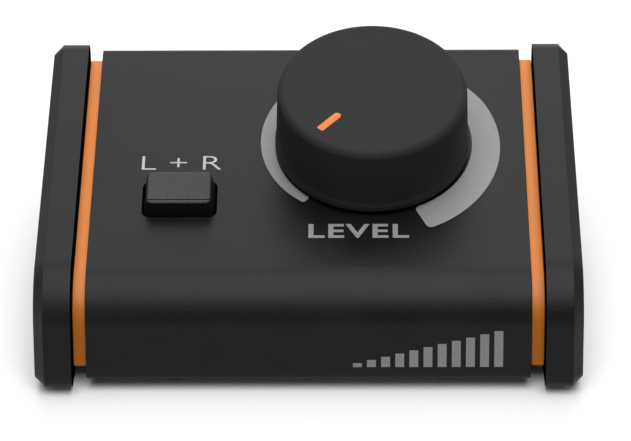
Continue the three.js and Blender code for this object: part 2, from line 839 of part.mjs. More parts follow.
// Board between pot and switch, upright to the panel, with a hole for every pin
function controlBoard() {
  const left = buttonSide - switchWidth / 2 - controlBoardSideMargin;
  const right = knobSide + potRadius + controlBoardSideMargin;
  const board = box(
    new THREE.Vector3(left, -controlBoardFront, -controlBoardTop - controlBoardHeight),
    new THREE.Vector3(right, -controlBoardBack, -controlBoardTop),
  );
  const half = pinWidth / 2 + pinHoleFit;
  const hole = ({ x, z }, side) => box(
    new THREE.Vector3(side + x - half, -controlBoardFront - cutOverrun, z - half),
    new THREE.Vector3(side + x + half, -controlBoardBack + cutOverrun, z + half),
  );
  const potHoles = potPinPlaces().map((place) => hole(place, knobSide));
  const switchHoles = switchPinPlaces().map((place) => hole(place, buttonSide));
  return cut(board, ...potHoles, ...switchHoles);
}

// Board under the sockets
function jackBoard() {
  const side = bodyWidth / 2 - jackBoardSideInset;
  const back = rearPanelFace - sheet - jackBoardBackGap;
  const board = centredBox(2 * side, jackBoardFront, jackBoardBottom, back, jackBoardTop);
  const holes = sides.map(({ sign }) => (
    rod(boardScrewRadius + screwHoleFit, jackBoardBottom - cutOverrun, jackBoardTop + cutOverrun, screwSides)
      .translate(sign * postX, postFromFront, 0)
  ));
  return cut(board, ...holes);
}

function boardPost() {
  return ring(postBoreRadius, postRadius, chassisFloorTop, jackBoardBottom, smallSides);
}

// Sockets, drawn along y with the rear panel's outer face at zero and the mouth to the back

function jackPlaces() {
  return [
    { name: 'output_left', x: -jackInnerOffset - jackPitch },
    { name: 'output_right', x: -jackInnerOffset },
    { name: 'input_left', x: jackInnerOffset },
    { name: 'input_right', x: jackInnerOffset + jackPitch },
  ];
}

function jackHousing() {
  const back = -sheet - jackBodyDepth;
  const body = centredBox(jackBodyWidth, back, -jackBodyHeight / 2, -sheet, jackBodyHeight / 2);
  const nose = rodAlongY(jackNoseRadius, -sheet - cutOverrun, jackNoseReach, roundSides);
  const bore = rodAlongY(jackBoreRadius, back - cutOverrun, jackNoseReach + cutOverrun, roundSides);
  const chamber = centredBox(
    jackChamberWidth, back + jackChamberBack, -jackChamberHeight / 2,
    -sheet - jackChamberFront, jackChamberHeight / 2,
  );
  return cut(join(body, nose), bore, chamber);
}

function jackNut() {
  const height = seatGap + jackNutThickness;
  const blank = hexBlock(jackNutAcrossFlats, seatGap, height);
  const nut = cut(blank, rod(jackNoseRadius + threadFit, 0, height + cutOverrun, roundSides));
  return nut.rotateX(-Math.PI / 2);
}

// Sprung contact on the chamber's roof (up = 1) or floor (up = -1), from the back forwards
function jackContact(length, up) {
  const back = -sheet - jackBodyDepth + jackChamberBack + seatGap;
  const seat = up * (jackChamberHeight / 2 - contactThickness / 2 - seatGap / 2);
  const crown = up * (contactReach + contactThickness / 2);
  const path = [
    new THREE.Vector2(back, seat),
    new THREE.Vector2(back + length * contactSeatShare, seat),
    new THREE.Vector2(back + length * contactCrownShare, crown),
    new THREE.Vector2(back + length, crown + up * contactTipLift),
  ];
  return strip(path, contactThickness, contactWidth);
}

function miniJackHousing() {
  const back = -sheet - miniBodyDepth;
  const body = centredBox(miniBodyWidth, back, -miniBodyHeight / 2, -sheet, miniBodyHeight / 2);
  const nose = rodAlongY(miniNoseRadius, -sheet - cutOverrun, miniNoseReach, smallSides);
  const bore = rodAlongY(miniBoreRadius, back - cutOverrun, miniNoseReach + cutOverrun, smallSides);
  return cut(join(body, nose), bore);
}

// Ring nut with two spanner slots
function miniJackNut() {
  const near = seatGap;
  const far = seatGap + miniNutThickness;
  const bore = miniNoseRadius + threadFit;
  const profile = [[bore, near], [miniNutRadius, near], [miniNutRadius, far], [bore, far], [bore, near]];
  const blank = turnedAlongY(profile, smallSides);
  const half = miniNutSlot / 2;
  const slot = centredBox(2 * miniNutRadius + cutOverrun, far - half, -half, far + cutOverrun, half);
  return cut(blank, slot);
}

// Ribbon header: a block from front to back round a middle height, with a slot in its
// front that the ribbon's end enters
function header(front, back, middle) {
  const half = headerThickness / 2;
  const slotHalf = ribbonThickness / 2 + ribbonFit;
  const slotWidth = ribbonWidth + 2 * ribbonFit;
  const block = centredBox(headerWidth, front, middle - half, back, middle + half);
  const slotBottom = front + headerSlotDepth;
  const slot = centredBox(slotWidth, front - cutOverrun, middle - slotHalf, slotBottom, middle + slotHalf);
  return cut(block, slot);
}

function upperHeader() {
  const back = -controlBoardFront - seatGap;
  return header(back - headerHeight, back, -upperHeaderDepth - headerThickness / 2);
}

function lowerHeader() {
  const back = lowerHeaderFromFront + headerHeight;
  return header(lowerHeaderFromFront, back, jackBoardTop + headerThickness / 2);
}

// Ribbon in one bend from the upright board forwards, down and back to the socket board
function linkRibbon() {
  const downSlope = new THREE.Vector2(-Math.cos(panelSlope), -Math.sin(panelSlope));
  const intoPanel = new THREE.Vector2(Math.sin(panelSlope), -Math.cos(panelSlope));
  const slotEnd = headerSlotDepth - ribbonFit;
  const start = knobFoot.clone()
    .addScaledVector(downSlope, controlBoardFront + seatGap + headerHeight - slotEnd)
    .addScaledVector(intoPanel, upperHeaderDepth + headerThickness / 2);
  const end = new THREE.Vector2(lowerHeaderFromFront + slotEnd, jackBoardTop + headerThickness / 2);
  const leave = start.clone().addScaledVector(downSlope, headerSlotDepth);
  const enter = end.clone().add(new THREE.Vector2(-headerSlotDepth, 0));
  const bend = new THREE.CubicBezierCurve(
    leave,
    leave.clone().addScaledVector(downSlope, ribbonReach),
    enter.clone().add(new THREE.Vector2(-ribbonReach, 0)),
    enter,
  );
  return strip([start, ...bend.getPoints(ribbonSteps), end], ribbonThickness, ribbonWidth);
}

// Assembly

piece('top_shell', topShell(), finishes.powderCoat, caseFrame);
piece('chassis', chassis(), finishes.powderCoat, caseFrame);

sides.forEach(({ side, sign }) => {
  const trim = piece(`${side}_trim_plate`, trimPlate(sign), finishes.orangePlate, caseFrame);
  trim.position.x = sign * bodyWidth / 2;
  const end = piece(`${side}_cheek`, cheek(sign), finishes.cheekPlastic, caseFrame);
  end.position.x = sign * (bodyWidth / 2 + trimThickness);
  const headSeat = overallWidth / 2 - cheekScrewHeadHeight;
  const shank = headSeat - (bodyWidth / 2 - sheet) + cheekScrewTip;
  cheekScrewPlaces().forEach(({ place, y, z }) => {
    const geometry = screw(cheekScrewHeadRadius, cheekScrewHeadHeight, cheekScrewRadius, shank);
    const fastener = piece(`cheek_screw_${side}_${place}`, geometry, finishes.blackScrew, caseFrame);
    fastener.position.set(sign * headSeat, y, z);
    fastener.rotation.y = sign * Math.PI / 2;
  });
  const rearScrew = screw(caseScrewHeadRadius, caseScrewHeadHeight, caseScrewRadius, caseScrewLength);
  const rear = piece(`rear_screw_${side}`, rearScrew, finishes.blackScrew, caseFrame);
  rear.position.set(sign * rearScrewX, bodyDepth + seatGap, rearScrewHeight);
  rear.rotation.x = -Math.PI / 2;
  const baseScrew = screw(caseScrewHeadRadius, caseScrewHeadHeight, caseScrewRadius, caseScrewLength);
  const base = piece(`base_screw_${side}`, baseScrew, finishes.blackScrew, caseFrame);
  base.position.set(sign * baseScrewX, baseScrewFrontInset, -seatGap);
  base.rotation.x = Math.PI;
  const footX = sign * (bodyWidth / 2 - footSideInset);
  [['front', footFrontInset], ['rear', bodyDepth - footBackInset]].forEach(([row, y]) => {
    piece(`foot_${row}_${side}`, foot(), finishes.rubber, caseFrame).position.set(footX, y, 0);
  });
  const post = piece(`board_post_${side}`, boardPost(), finishes.nickel, caseFrame);
  post.position.set(sign * postX, postFromFront, 0);
  const boardScrew = screw(boardScrewHeadRadius, boardScrewHeadHeight, boardScrewRadius, boardScrewLength);
  const fixing = piece(`board_screw_${side}`, boardScrew, finishes.nickel, caseFrame);
  fixing.position.set(sign * postX, postFromFront, jackBoardTop + seatGap);
});

piece('pot_housing', potHousing(), finishes.zincSheet, knobFrame);
piece('pot_bushing', potBushing(), finishes.brass, knobFrame);
piece('pot_shaft', potShaft(), finishes.nickel, knobFrame);
piece('pot_washer', potWasher(), finishes.nickel, knobFrame);
piece('pot_nut', potNut(), finishes.nickel, knobFrame);
piece('knob_cap', knobCap(), finishes.softTouch, knobFrame);
piece('knob_pointer', pointerBar(0, 0), finishes.pointerOrange, knobFrame);
piece('knob_insert', knobInsert(), finishes.brass, knobFrame);

piece('button_cap', buttonCap(), finishes.grainedPlastic, buttonFrame);
piece('switch_plunger', switchPlunger(), finishes.paleNylon, buttonFrame);
piece('switch_housing', switchHousing(), finishes.socketPlastic, buttonFrame);
piece('switch_spring', switchSpring(), finishes.nickel, buttonFrame);

piece('control_board', controlBoard(), finishes.boardGreen, panelFrame);
piece('ribbon_header_upper', upperHeader(), finishes.socketPlastic, panelFrame).position.x = headerSide;
piece('jack_board', jackBoard(), finishes.boardGreen, caseFrame);
piece('ribbon_header_lower', lowerHeader(), finishes.socketPlastic, caseFrame).position.x = headerSide;
piece('link_ribbon', linkRibbon(), finishes.ribbonGrey, caseFrame).position.x = headerSide;

jackPlaces().forEach(({ name, x }) => {
  const socketFrame = new THREE.Group();
  socketFrame.position.set(x, rearPanelFace, jackAxisHeight);
  caseFrame.add(socketFrame);
  piece(`${name}_jack_housing`, jackHousing(), finishes.socketPlastic, socketFrame);
  piece(`${name}_jack_nut`, jackNut(), finishes.nickel, socketFrame);
  piece(`${name}_tip_contact`, jackContact(tipContactLength, 1), finishes.nickel, socketFrame);
  piece(`${name}_ring_contact`, jackContact(ringContactLength, -1), finishes.nickel, socketFrame);
});

const miniFrame = new THREE.Group();
miniFrame.position.set(0, rearPanelFace, miniAxisHeight);
caseFrame.add(miniFrame);
piece('mini_jack_housing', miniJackHousing(), finishes.socketPlastic, miniFrame);
piece('mini_jack_nut', miniJackNut(), finishes.nickel, miniFrame);

export default controller;
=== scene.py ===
"""Looks of a small desktop monitor controller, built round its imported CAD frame.

Lengths are in metres and angles in degrees. The case is shaped where it stands. Pieces
on the sloped panel are shaped in the panel's own frame, with x across, y up the slope
and z out of the panel, and are then laid on it.
"""

import json
import logging
import math
from collections.abc import Callable, Iterator, Sequence
from contextlib import contextmanager
from dataclasses import dataclass
from enum import Enum, IntEnum
from itertools import pairwise

import bmesh
import bpy
from mathutils import Matrix, Vector

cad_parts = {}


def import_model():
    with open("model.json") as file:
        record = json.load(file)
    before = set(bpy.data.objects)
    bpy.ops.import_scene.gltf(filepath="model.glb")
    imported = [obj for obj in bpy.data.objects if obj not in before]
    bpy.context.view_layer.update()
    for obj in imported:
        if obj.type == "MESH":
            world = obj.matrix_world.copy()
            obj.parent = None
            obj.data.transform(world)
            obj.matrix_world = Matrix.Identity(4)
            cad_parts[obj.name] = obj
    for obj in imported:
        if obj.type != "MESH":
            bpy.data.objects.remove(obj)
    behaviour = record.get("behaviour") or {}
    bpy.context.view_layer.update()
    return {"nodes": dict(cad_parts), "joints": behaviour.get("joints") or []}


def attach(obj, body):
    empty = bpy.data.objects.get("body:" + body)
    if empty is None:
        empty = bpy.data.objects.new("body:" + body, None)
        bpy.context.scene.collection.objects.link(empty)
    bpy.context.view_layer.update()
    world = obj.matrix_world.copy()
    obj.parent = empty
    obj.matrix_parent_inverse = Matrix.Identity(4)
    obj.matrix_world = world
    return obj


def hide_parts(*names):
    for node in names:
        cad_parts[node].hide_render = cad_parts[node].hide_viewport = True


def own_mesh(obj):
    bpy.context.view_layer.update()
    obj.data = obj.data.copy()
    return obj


LOG = logging.getLogger("monitor_controller")

Pair = tuple[float, float]
Triple = tuple[float, float, float]
FaceTest = Callable[[bmesh.types.BMFace], bool]
EdgeTest = Callable[[bmesh.types.BMEdge], bool]
Material = bpy.types.Material
Socket = bpy.types.NodeSocket

# The axes, the mirror between the case's ends, and the ends with their directions across
ACROSS = Vector((1, 0, 0))
BACK = Vector((0, 1, 0))
UP = Vector((0, 0, 1))
MIRROR = Matrix.Scale(-1, 4, ACROSS)
SIDES = (("left", -1), ("right", 1))

# How near doubled points are, and how far a cutter reaches past what it cuts
MERGE_GAP = 1e-6
PAST = 0.002
# Least cosine of two directions that count as one, and of an edge that climbs
ALIGNED = 0.999
CLIMBING = 0.8
# Greatest cosine between an axis and the normal of a wall that stands along it
UPRIGHT = 0.35
# Angles between faces: the greatest that is shaded as a curve, the least that is
# softened, and the least that is softened on pieces with round holes
CURVED = 35
SHARP = 40
SHARP_BY_HOLES = 50
RIGHT_ANGLE = 90


class Pick(Enum):
    """What edit mode selects."""

    POINT = "VERT"
    EDGE = "EDGE"
    FACE = "FACE"


class Body(Enum):
    """The frame's bodies that pieces ride on."""

    CASE = "case"
    KNOB = "knob"
    BUTTON = "button"


class Joint(Enum):
    """The frame's joints."""

    KNOB_TURN = "knob_turn"
    MONO_PRESS = "mono_press"


class Side(Enum):
    """Faces of the case as seen from its end."""

    BOTTOM = "bottom"
    BACK = "back"
    TOP = "top"
    FRONT = "front"


class Facets(IntEnum):
    """How many sides a rod or a turned piece has."""

    HEXAGON = 6
    COARSE = 32
    MEDIUM = 48
    FINE = 64
    FINER = 72
    FINEST = 160


class Slot(Enum):
    """Finishes that the record names."""

    POWDER_COAT = "powder_coat"
    ZINC_SHEET = "zinc_sheet"
    CHEEK_PLASTIC = "cheek_plastic"
    ORANGE_PLATE = "orange_plate"
    BLACK_SCREW = "black_screw"
    FOOT_RUBBER = "foot_rubber"
    SOFT_TOUCH = "soft_touch"
    POINTER_ORANGE = "pointer_orange"
    BRASS = "brass"
    NICKEL = "nickel"
    GRAINED_PLASTIC = "grained_plastic"
    BOARD_GREEN = "board_green"
    SOCKET_PLASTIC = "socket_plastic"
    PALE_NYLON = "pale_nylon"
    RIBBON_GREY = "ribbon_grey"


def faces_along(direction: Vector) -> FaceTest:
    """Test for faces that look in a direction."""
    return lambda face: face.normal.dot(direction) > ALIGNED


def faces_beside(axis: Vector) -> FaceTest:
    """Test for faces that stand nearly along an axis, such as drafted side walls."""
    return lambda face: abs(face.normal.dot(axis)) < UPRIGHT


def rim_of(direction: Vector) -> EdgeTest:
    """Test for edges that border faces that look in a direction."""
    looks = faces_along(direction)
    return lambda edge: sum(looks(face) for face in edge.link_faces) == 1


def edges_up(least: float) -> EdgeTest:
    """Test for edges whose direction has at least this cosine with the z axis."""
    return lambda edge: abs((edge.verts[0].co - edge.verts[1].co).normalized().z) > least


def rotation(axis: str, degrees: float) -> Matrix:
    """A turn round the x, y or z axis."""
    return Matrix.Rotation(math.radians(degrees), 4, axis)


def facing(direction: Vector, axis: str = "Z") -> Matrix:
    """The turn that points an axis in a direction."""
    return direction.to_track_quat(axis, "Y").to_matrix().to_4x4()


def hexagon_radius(half_width: float) -> float:
    """Radius over the corners of a hexagon, from half its width across the flats."""
    return half_width / math.cos(math.pi / Facets.HEXAGON)


# The bench: one piece while Blender's own tools shape it


def clear_selection() -> None:
    """Leaves object mode with nothing selected."""
    if bpy.context.mode != "OBJECT":
        bpy.ops.object.mode_set(mode="OBJECT")
    bpy.ops.object.select_all(action="DESELECT")


class Workpiece:
    """A mesh object that is shaped with Blender's edit-mode tools and modifiers."""

    def __init__(self, item: bpy.types.Object, name: str) -> None:
        """Takes an object on to the bench under its piece name.

        Args:
            item: the object.
            name: name of the piece.
        """
        self.item = item
        item.name = name
        item.data.name = name

    @classmethod
    def block(cls, name: str, low: Vector, high: Vector) -> "Workpiece":
        """Adds a rectangular block.

        Args:
            name: name of the piece.
            low: its lowest corner.
            high: its highest corner.

        Returns:
            The block, with its place in its mesh.
        """
        clear_selection()
        bpy.ops.mesh.primitive_cube_add(size=1, location=(low + high) / 2, scale=high - low)
        return cls(bpy.context.active_object, name).settle()

    @classmethod
    def pillar(cls, name: str, width: float, depth: float, low: float, high: float) -> "Workpiece":
        """Adds a block that stands round the z axis between two heights."""
        corner = Vector((width / 2, depth / 2, 0))
        return cls.block(name, low * UP - corner, high * UP + corner)

    @classmethod
    def rod(
        cls, name: str, near: Vector, far: Vector, radius: float, sides: Facets = Facets.FINE
    ) -> "Workpiece":
        """Adds a round or many-sided rod between two points.

        Args:
            name: name of the piece.
            near: centre of its first end.
            far: centre of its other end.
            radius: radius over its corners.
            sides: number of its sides.

        Returns:
            The rod, with its place in its mesh.
        """
        clear_selection()
        bpy.ops.mesh.primitive_cylinder_add(
            vertices=sides,
            radius=radius,
            depth=(far - near).length,
            location=(near + far) / 2,
            rotation=(far - near).to_track_quat("Z", "Y").to_euler(),
        )
        return cls(bpy.context.active_object, name).settle()

    @classmethod
    def turned(cls, name: str, profile: Sequence[Pair], steps: Facets = Facets.FINER) -> "Workpiece":
        """Draws half of a section by extruding a point and spins it round the upright axis.

        Args:
            name: name of the piece.
            profile: radius and height of each corner, from the axis to the axis, or closed.
            steps: number of steps in a full turn.

        Returns:
            The turned piece, standing on its own axis at the origin.
        """
        clear_selection()
        bpy.ops.mesh.primitive_plane_add(size=1)
        piece = cls(bpy.context.active_object, name)
        with piece.editing(Pick.POINT, whole=True):
            bpy.ops.mesh.merge(type="CENTER")
            bpy.ops.transform.translate(value=(profile[0][0], 0, profile[0][1]))
            for (radius, height), (next_radius, next_height) in pairwise(profile):
                step = (next_radius - radius, 0, next_height - height)
                bpy.ops.mesh.extrude_region_move(TRANSFORM_OT_translate={"value": step})
            bpy.ops.mesh.select_all(action="SELECT")
            bpy.ops.mesh.spin(steps=steps, angle=math.tau, center=(0, 0, 0), axis=(0, 0, 1))
            piece.close_up()
        return piece

    @classmethod
    def drawn(cls, name: str, outline: Sequence[Pair], thickness: float) -> "Workpiece":
        """Fills a flat outline and gives it a thickness, standing on the xy plane.

        Args:
            name: name of the piece.
            outline: its corners in the xy plane.
            thickness: its height above the plane.

        Returns:
            The flat piece as a mesh.
        """
        clear_selection()
        curve = bpy.data.curves.new(name, "CURVE")
        curve.dimensions = "2D"
        curve.fill_mode = "BOTH"
        curve.extrude = thickness / 2
        line = curve.splines.new("POLY")
        line.points.add(len(outline) - 1)
        for point, corner in zip(line.points, outline):
            point.co = (*corner, 0, 1)
        line.use_cyclic_u = True
        item = bpy.data.objects.new(name, curve)
        bpy.context.scene.collection.objects.link(item)
        return cls.from_flat(item, name, thickness)

    @classmethod
    def from_flat(cls, item: bpy.types.Object, name: str, thickness: float) -> "Workpiece":
        """Turns a text or flat curve into a closed mesh that stands on the xy plane.

        Args:
            item: the text or curve object.
            name: name of the piece.
            thickness: its full thickness.

        Returns:
            The mesh piece.
        """
        clear_selection()
        item.select_set(True)
        bpy.context.view_layer.objects.active = item
        bpy.ops.object.convert(target="MESH")
        piece = cls(bpy.context.active_object, name)
        piece.item.location.z += thickness / 2
        piece.settle()
        with piece.editing(Pick.POINT, whole=True):
            piece.close_up()
        return piece

    @contextmanager
    def editing(self, pick: Pick = Pick.FACE, whole: bool = False) -> Iterator[None]:
        """Edit mode on this piece alone.

        Args:
            pick: what is selected in it.
            whole: whether all of the piece is selected at first, or nothing.

        Returns:
            The context in which edit mode lasts.
        """
        self.take_up()
        bpy.ops.object.mode_set(mode="EDIT")
        bpy.ops.mesh.select_mode(type=pick.value)
        bpy.ops.mesh.select_all(action="SELECT" if whole else "DESELECT")
        yield
        bpy.ops.object.mode_set(mode="OBJECT")

    def take_up(self) -> None:
        """Makes this piece the only selected one."""
        clear_selection()
        self.item.select_set(True)
        bpy.context.view_layer.objects.active = self.item

    def settle(self) -> "Workpiece":
        """Moves the object's place, turn and size into its mesh.

        Returns:
            This piece.
        """
        self.take_up()
        bpy.ops.object.transform_apply(location=True, rotation=True, scale=True)
        return self

    def close_up(self) -> None:
        """In edit mode, merges doubled points and turns every face outwards."""
        bpy.ops.mesh.remove_doubles(threshold=MERGE_GAP)
        bpy.ops.mesh.normals_make_consistent(inside=False)

    def pick_faces(self, test: FaceTest) -> None:
        """In edit mode, selects the faces that pass a test.

        Args:
            test: says whether a face is wanted.
        """
        mesh = bmesh.from_edit_mesh(self.item.data)
        for face in [face for face in mesh.faces if test(face)]:
            face.select_set(True)
        bmesh.update_edit_mesh(self.item.data)

    def pick_edges(self, test: EdgeTest) -> float:
        """In edit mode, selects the edges that pass a test.

        Args:
            test: says whether an edge is wanted.

        Returns:
            The angle in radians through which the surface turns at those edges.
        """
        mesh = bmesh.from_edit_mesh(self.item.data)
        turn = 0.0
        for edge in mesh.edges:
            if len(edge.link_faces) == 2 and test(edge):
                edge.select_set(True)
                turn = edge.calc_face_angle()
        bmesh.update_edit_mesh(self.item.data)
        return turn

    def round_edges(self, test: EdgeTest, radius: float, segments: int) -> "Workpiece":
        """Rounds the chosen edges.

        Args:
            test: says whether an edge is wanted.
            radius: radius of the round.
            segments: steps in the round.

        Returns:
            This piece.
        """
        with self.editing(Pick.EDGE):
            reach = radius * math.tan(self.pick_edges(test) / 2)
            bpy.ops.mesh.bevel(offset=reach, segments=segments, affect="EDGES")
        return self

    def chamfer_edges(self, test: EdgeTest, width: float) -> "Workpiece":
        """Cuts the chosen edges back by a flat.

        Args:
            test: says whether an edge is wanted.
            width: how far both faces are cut back.

        Returns:
            This piece.
        """
        with self.editing(Pick.EDGE):
            self.pick_edges(test)
            bpy.ops.mesh.bevel(offset=width, segments=1, affect="EDGES")
        return self

    def delete_faces(self, test: FaceTest) -> "Workpiece":
        """Removes the faces that pass a test.

        Args:
            test: says whether a face goes.

        Returns:
            This piece.
        """
        with self.editing():
            self.pick_faces(test)
            bpy.ops.mesh.delete(type="FACE")
        return self

    def split(self, point: Vector, normal: Vector, cut_off: bool = False) -> "Workpiece":
        """Cuts an edge round the piece along a plane.

        Args:
            point: a point of the plane.
            normal: direction of the plane.
            cut_off: whether all that lies beyond the plane goes and the cut is closed.

        Returns:
            This piece.
        """
        with self.editing(whole=True):
            bpy.ops.mesh.bisect(plane_co=point, plane_no=normal, use_fill=cut_off, clear_outer=cut_off)
        return self

    def add_modifier(self, kind: str, **settings: object) -> "Workpiece":
        """Applies one modifier.

        Args:
            kind: type of the modifier.
            settings: its settings by their names.

        Returns:
            This piece.
        """
        self.take_up()
        modifier = self.item.modifiers.new(kind.title(), kind)
        for name, value in settings.items():
            setattr(modifier, name, value)
        bpy.ops.object.modifier_apply(modifier=modifier.name)
        return self

    def combine(self, operation: str, *others: "Workpiece") -> "Workpiece":
        """Runs one Boolean operation with each of the other pieces.

        Args:
            operation: DIFFERENCE, UNION or INTERSECT.
            others: the other pieces, which are used up.

        Returns:
            This piece.
        """
        for other in others:
            self.add_modifier("BOOLEAN", operation=operation, solver="EXACT", object=other.item)
            other.discard()
        return self

    def cut(self, *tools: "Workpiece") -> "Workpiece":
        """Takes the tools away from this piece and discards them."""
        return self.combine("DIFFERENCE", *tools)

    def soften(self, width: float, segments: int = 2, angle: float = SHARP) -> "Workpiece":
        """Breaks the sharp edges.

        Args:
            width: width of the broken edge.
            segments: steps in it.
            angle: least angle between the faces at an edge that is broken.

        Returns:
            This piece.
        """
        least = math.radians(angle)
        return self.add_modifier(
            "BEVEL", width=width, segments=segments, limit_method="ANGLE", angle_limit=least
        )

    def smooth(self, angle: float = CURVED) -> "Workpiece":
        """Shades curves smooth and flats flat.

        Args:
            angle: greatest angle between the faces of a curve.

        Returns:
            This piece.
        """
        self.take_up()
        bpy.ops.object.shade_smooth_by_angle(angle=math.radians(angle))
        return self.add_modifier("WEIGHTED_NORMAL", keep_sharp=True)

    def place(self, matrix: Matrix) -> "Workpiece":
        """Carries the piece from the frame it was shaped in to where it belongs."""
        self.item.matrix_world = matrix @ self.item.matrix_world
        return self.settle()

    def copied(self, name: str, matrix: Matrix) -> "Workpiece":
        """Copies the piece with its own mesh, and moves or mirrors the copy.

        Args:
            name: name of the copy.
            matrix: where the copy goes, from where this piece is.

        Returns:
            The copy.
        """
        twin = self.item.copy()
        twin.data = self.item.data.copy()
        bpy.context.scene.collection.objects.link(twin)
        piece = Workpiece(twin, name).place(matrix)
        if matrix.determinant() < 0:
            with piece.editing(whole=True):
                bpy.ops.mesh.normals_make_consistent(inside=False)
        return piece

    def coat(self, test: FaceTest, material: Material) -> None:
        """Gives the faces that pass a test a second material.

        Args:
            test: says whether a face gets it.
            material: the second material.
        """
        self.item.data.materials.append(material)
        with self.editing():
            self.pick_faces(test)
            self.item.active_material_index = len(self.item.data.materials) - 1
            bpy.ops.object.material_slot_assign()

    def discard(self) -> None:
        """Removes a piece that is used up."""
        bpy.data.objects.remove(self.item)


def rounded(corners: Sequence[tuple[float, ...]], segments: int = 6) -> list[Pair]:
    """Rounds the corners of an open line.

    Args:
        corners: across and up of each corner, and as a third number the radius of its round.
        segments: number of steps in each round.

    Returns:
        The points of the rounded line.
    """
    line = []
    for index, corner in enumerate(corners):
        here = Vector(corner[:2])
        radius = corner[2] if len(corner) > 2 else 0
        if not radius:
            line.append(tuple(here))
            continue
        back = (Vector(corners[index - 1][:2]) - here).normalized()
        ahead = (Vector(corners[(index + 1) % len(corners)][:2]) - here).normalized()
        half = back.angle(ahead) / 2
        centre = here + (back + ahead).normalized() * radius / math.sin(half)
        start = here + back * radius / math.tan(half) - centre
        turn = math.copysign(math.pi - 2 * half, back.x * ahead.y - back.y * ahead.x)
        for step in range(segments + 1):
            spoke = start.copy()
            spoke.rotate(Matrix.Rotation(-turn * step / segments, 2))
            line.append(tuple(centre + spoke))
    return line


# Finishes: procedural materials on the piece's own object coordinates


def grey(level: float) -> Triple:
    """A neutral colour."""
    return (level, level, level)


def dimmed(colour: Triple, share: float) -> Triple:
    """A colour with all its parts taken down to a share."""
    return tuple(part * share for part in colour)


class Shader:
    """A material's node tree while it is wired."""

    textures = ("Noise", "Voronoi")
    noise_middle = 0.5
    noise_reach = 0.2
    edge_samples = 6
    flat_turn = 0.02
    highlight_turn = 0.2

    def __init__(self, name: str) -> None:
        """Starts a material with its principled surface.

        Args:
            name: name of the material.
        """
        self.material = bpy.data.materials.new(name)
        self.material.use_nodes = True
        self.tree = self.material.node_tree
        self.surface = self.tree.nodes["Principled BSDF"]
        self.place = self.add("TexCoord").outputs["Object"]

    def add(self, kind: str, **values: object) -> bpy.types.ShaderNode:
        """Adds a node.

        Args:
            kind: its type without the ShaderNode prefix.
            values: inputs by their names with underscores for spaces, or the node's own
                settings in lower case. A socket is linked and a value is set.

        Returns:
            The node.
        """
        prefix = "ShaderNodeTex" if kind in self.textures else "ShaderNode"
        node = self.tree.nodes.new(prefix + kind)
        for name, value in values.items():
            if name.islower():
                setattr(node, name, value)
            else:
                self.feed(node.inputs[name.replace("_", " ")], value)
        return node

    def feed(self, socket: Socket, value: object) -> None:
        """Links a socket to another, or sets its value.

        Args:
            socket: the input.
            value: an output, or the value itself.
        """
        if isinstance(value, Socket):
            self.tree.links.new(value, socket)
        else:
            socket.default_value = value

    def noise(
        self, size: float, detail: float = 2.0, roughness: float = 0.5, place: Socket | None = None
    ) -> Socket:
        """Adds a noise whose grains have a real size.

        Args:
            size: size of its grains.
            detail: number of finer noises on top.
            roughness: weight of the finer noises.
            place: coordinates, if not the object's own.

        Returns:
            The noise, from 0 to 1.
        """
        where = place or self.place
        node = self.add("Noise", Vector=where, Scale=1 / size, Detail=detail, Roughness=roughness)
        return node.outputs["Fac"]

    def math(self, operation: str, *values: object, kind: str = "Math") -> Socket:
        """Adds one sum.

        Args:
            operation: name of the sum.
            values: sockets, numbers or vectors to put in.
            kind: Math, or VectorMath for a sum on vectors.

        Returns:
            The result.
        """
        node = self.add(kind, operation=operation)
        for socket, value in zip(node.inputs, values):
            self.feed(socket, value)
        return node.outputs["Value"]

    def span(self, value: Socket, low: float, high: float, start: float = 0, end: float = 1) -> Socket:
        """Maps a value between low and high to one between start and end, and holds it there."""
        node = self.add("MapRange", Value=value, From_Min=low, From_Max=high, To_Min=start, To_Max=end)
        return node.outputs["Result"]

    def vary(self, noise: Socket, middle: float, by: float, reach: float = noise_reach) -> Socket:
        """Moves a number up and down with a noise.

        Args:
            noise: the noise, whose own middle is a half.
            middle: the number.
            by: how far it is moved.
            reach: how far from its middle the noise has its full effect.

        Returns:
            The moved number.
        """
        low, high = self.noise_middle - reach, self.noise_middle + reach
        return self.span(noise, low, high, middle - by, middle + by)

    def mix(self, share: Socket, first: Socket | Triple, second: Triple) -> Socket:
        """Blends two colours.

        Args:
            share: share of the second colour.
            first: the first colour.
            second: the second colour.

        Returns:
            The blended colour.
        """
        node = self.tree.nodes.new("ShaderNodeMix")
        node.data_type = "RGBA"
        self.feed(node.inputs["Factor"], share)
        for socket, colour in zip([s for s in node.inputs if s.type == "RGBA"], (first, second)):
            self.feed(socket, (*colour, 1) if isinstance(colour, tuple) else colour)
        return next(s for s in node.outputs if s.type == "RGBA")

    def edge_highlight_share(self, radius: float) -> Socket:
        """Tells rounded edges, where a highlight is painted, from flats by how far a rounded normal
        turns.

        Args:
            radius: radius of the rounded edges.

        Returns:
            A share that is 1 at worn edges and 0 on flats.
        """
        soft = self.add("Bevel", samples=self.edge_samples, Radius=radius).outputs["Normal"]
        flat = self.add("NewGeometry").outputs["Normal"]
        aligned = self.math("DOT_PRODUCT", soft, flat, kind="VectorMath")
        return self.span(self.math("SUBTRACT", 1, aligned), self.flat_turn, self.highlight_turn)

    def raise_by(self, height: Socket, depth: float) -> None:
        """Bumps the surface by a height pattern of a real depth."""
        bump = self.add("Bump", Height=height, Distance=depth, Strength=1)
        self.feed(self.surface.inputs["Normal"], bump.outputs["Normal"])

    def dress(self, **values: object) -> Material:
        """Sets the principled surface's sockets.

        Args:
            values: their values by their names, with underscores for spaces.

        Returns:
            The material.
        """
        for name, value in values.items():
            self.feed(self.surface.inputs[name.replace("_", " ")], value)
        return self.material


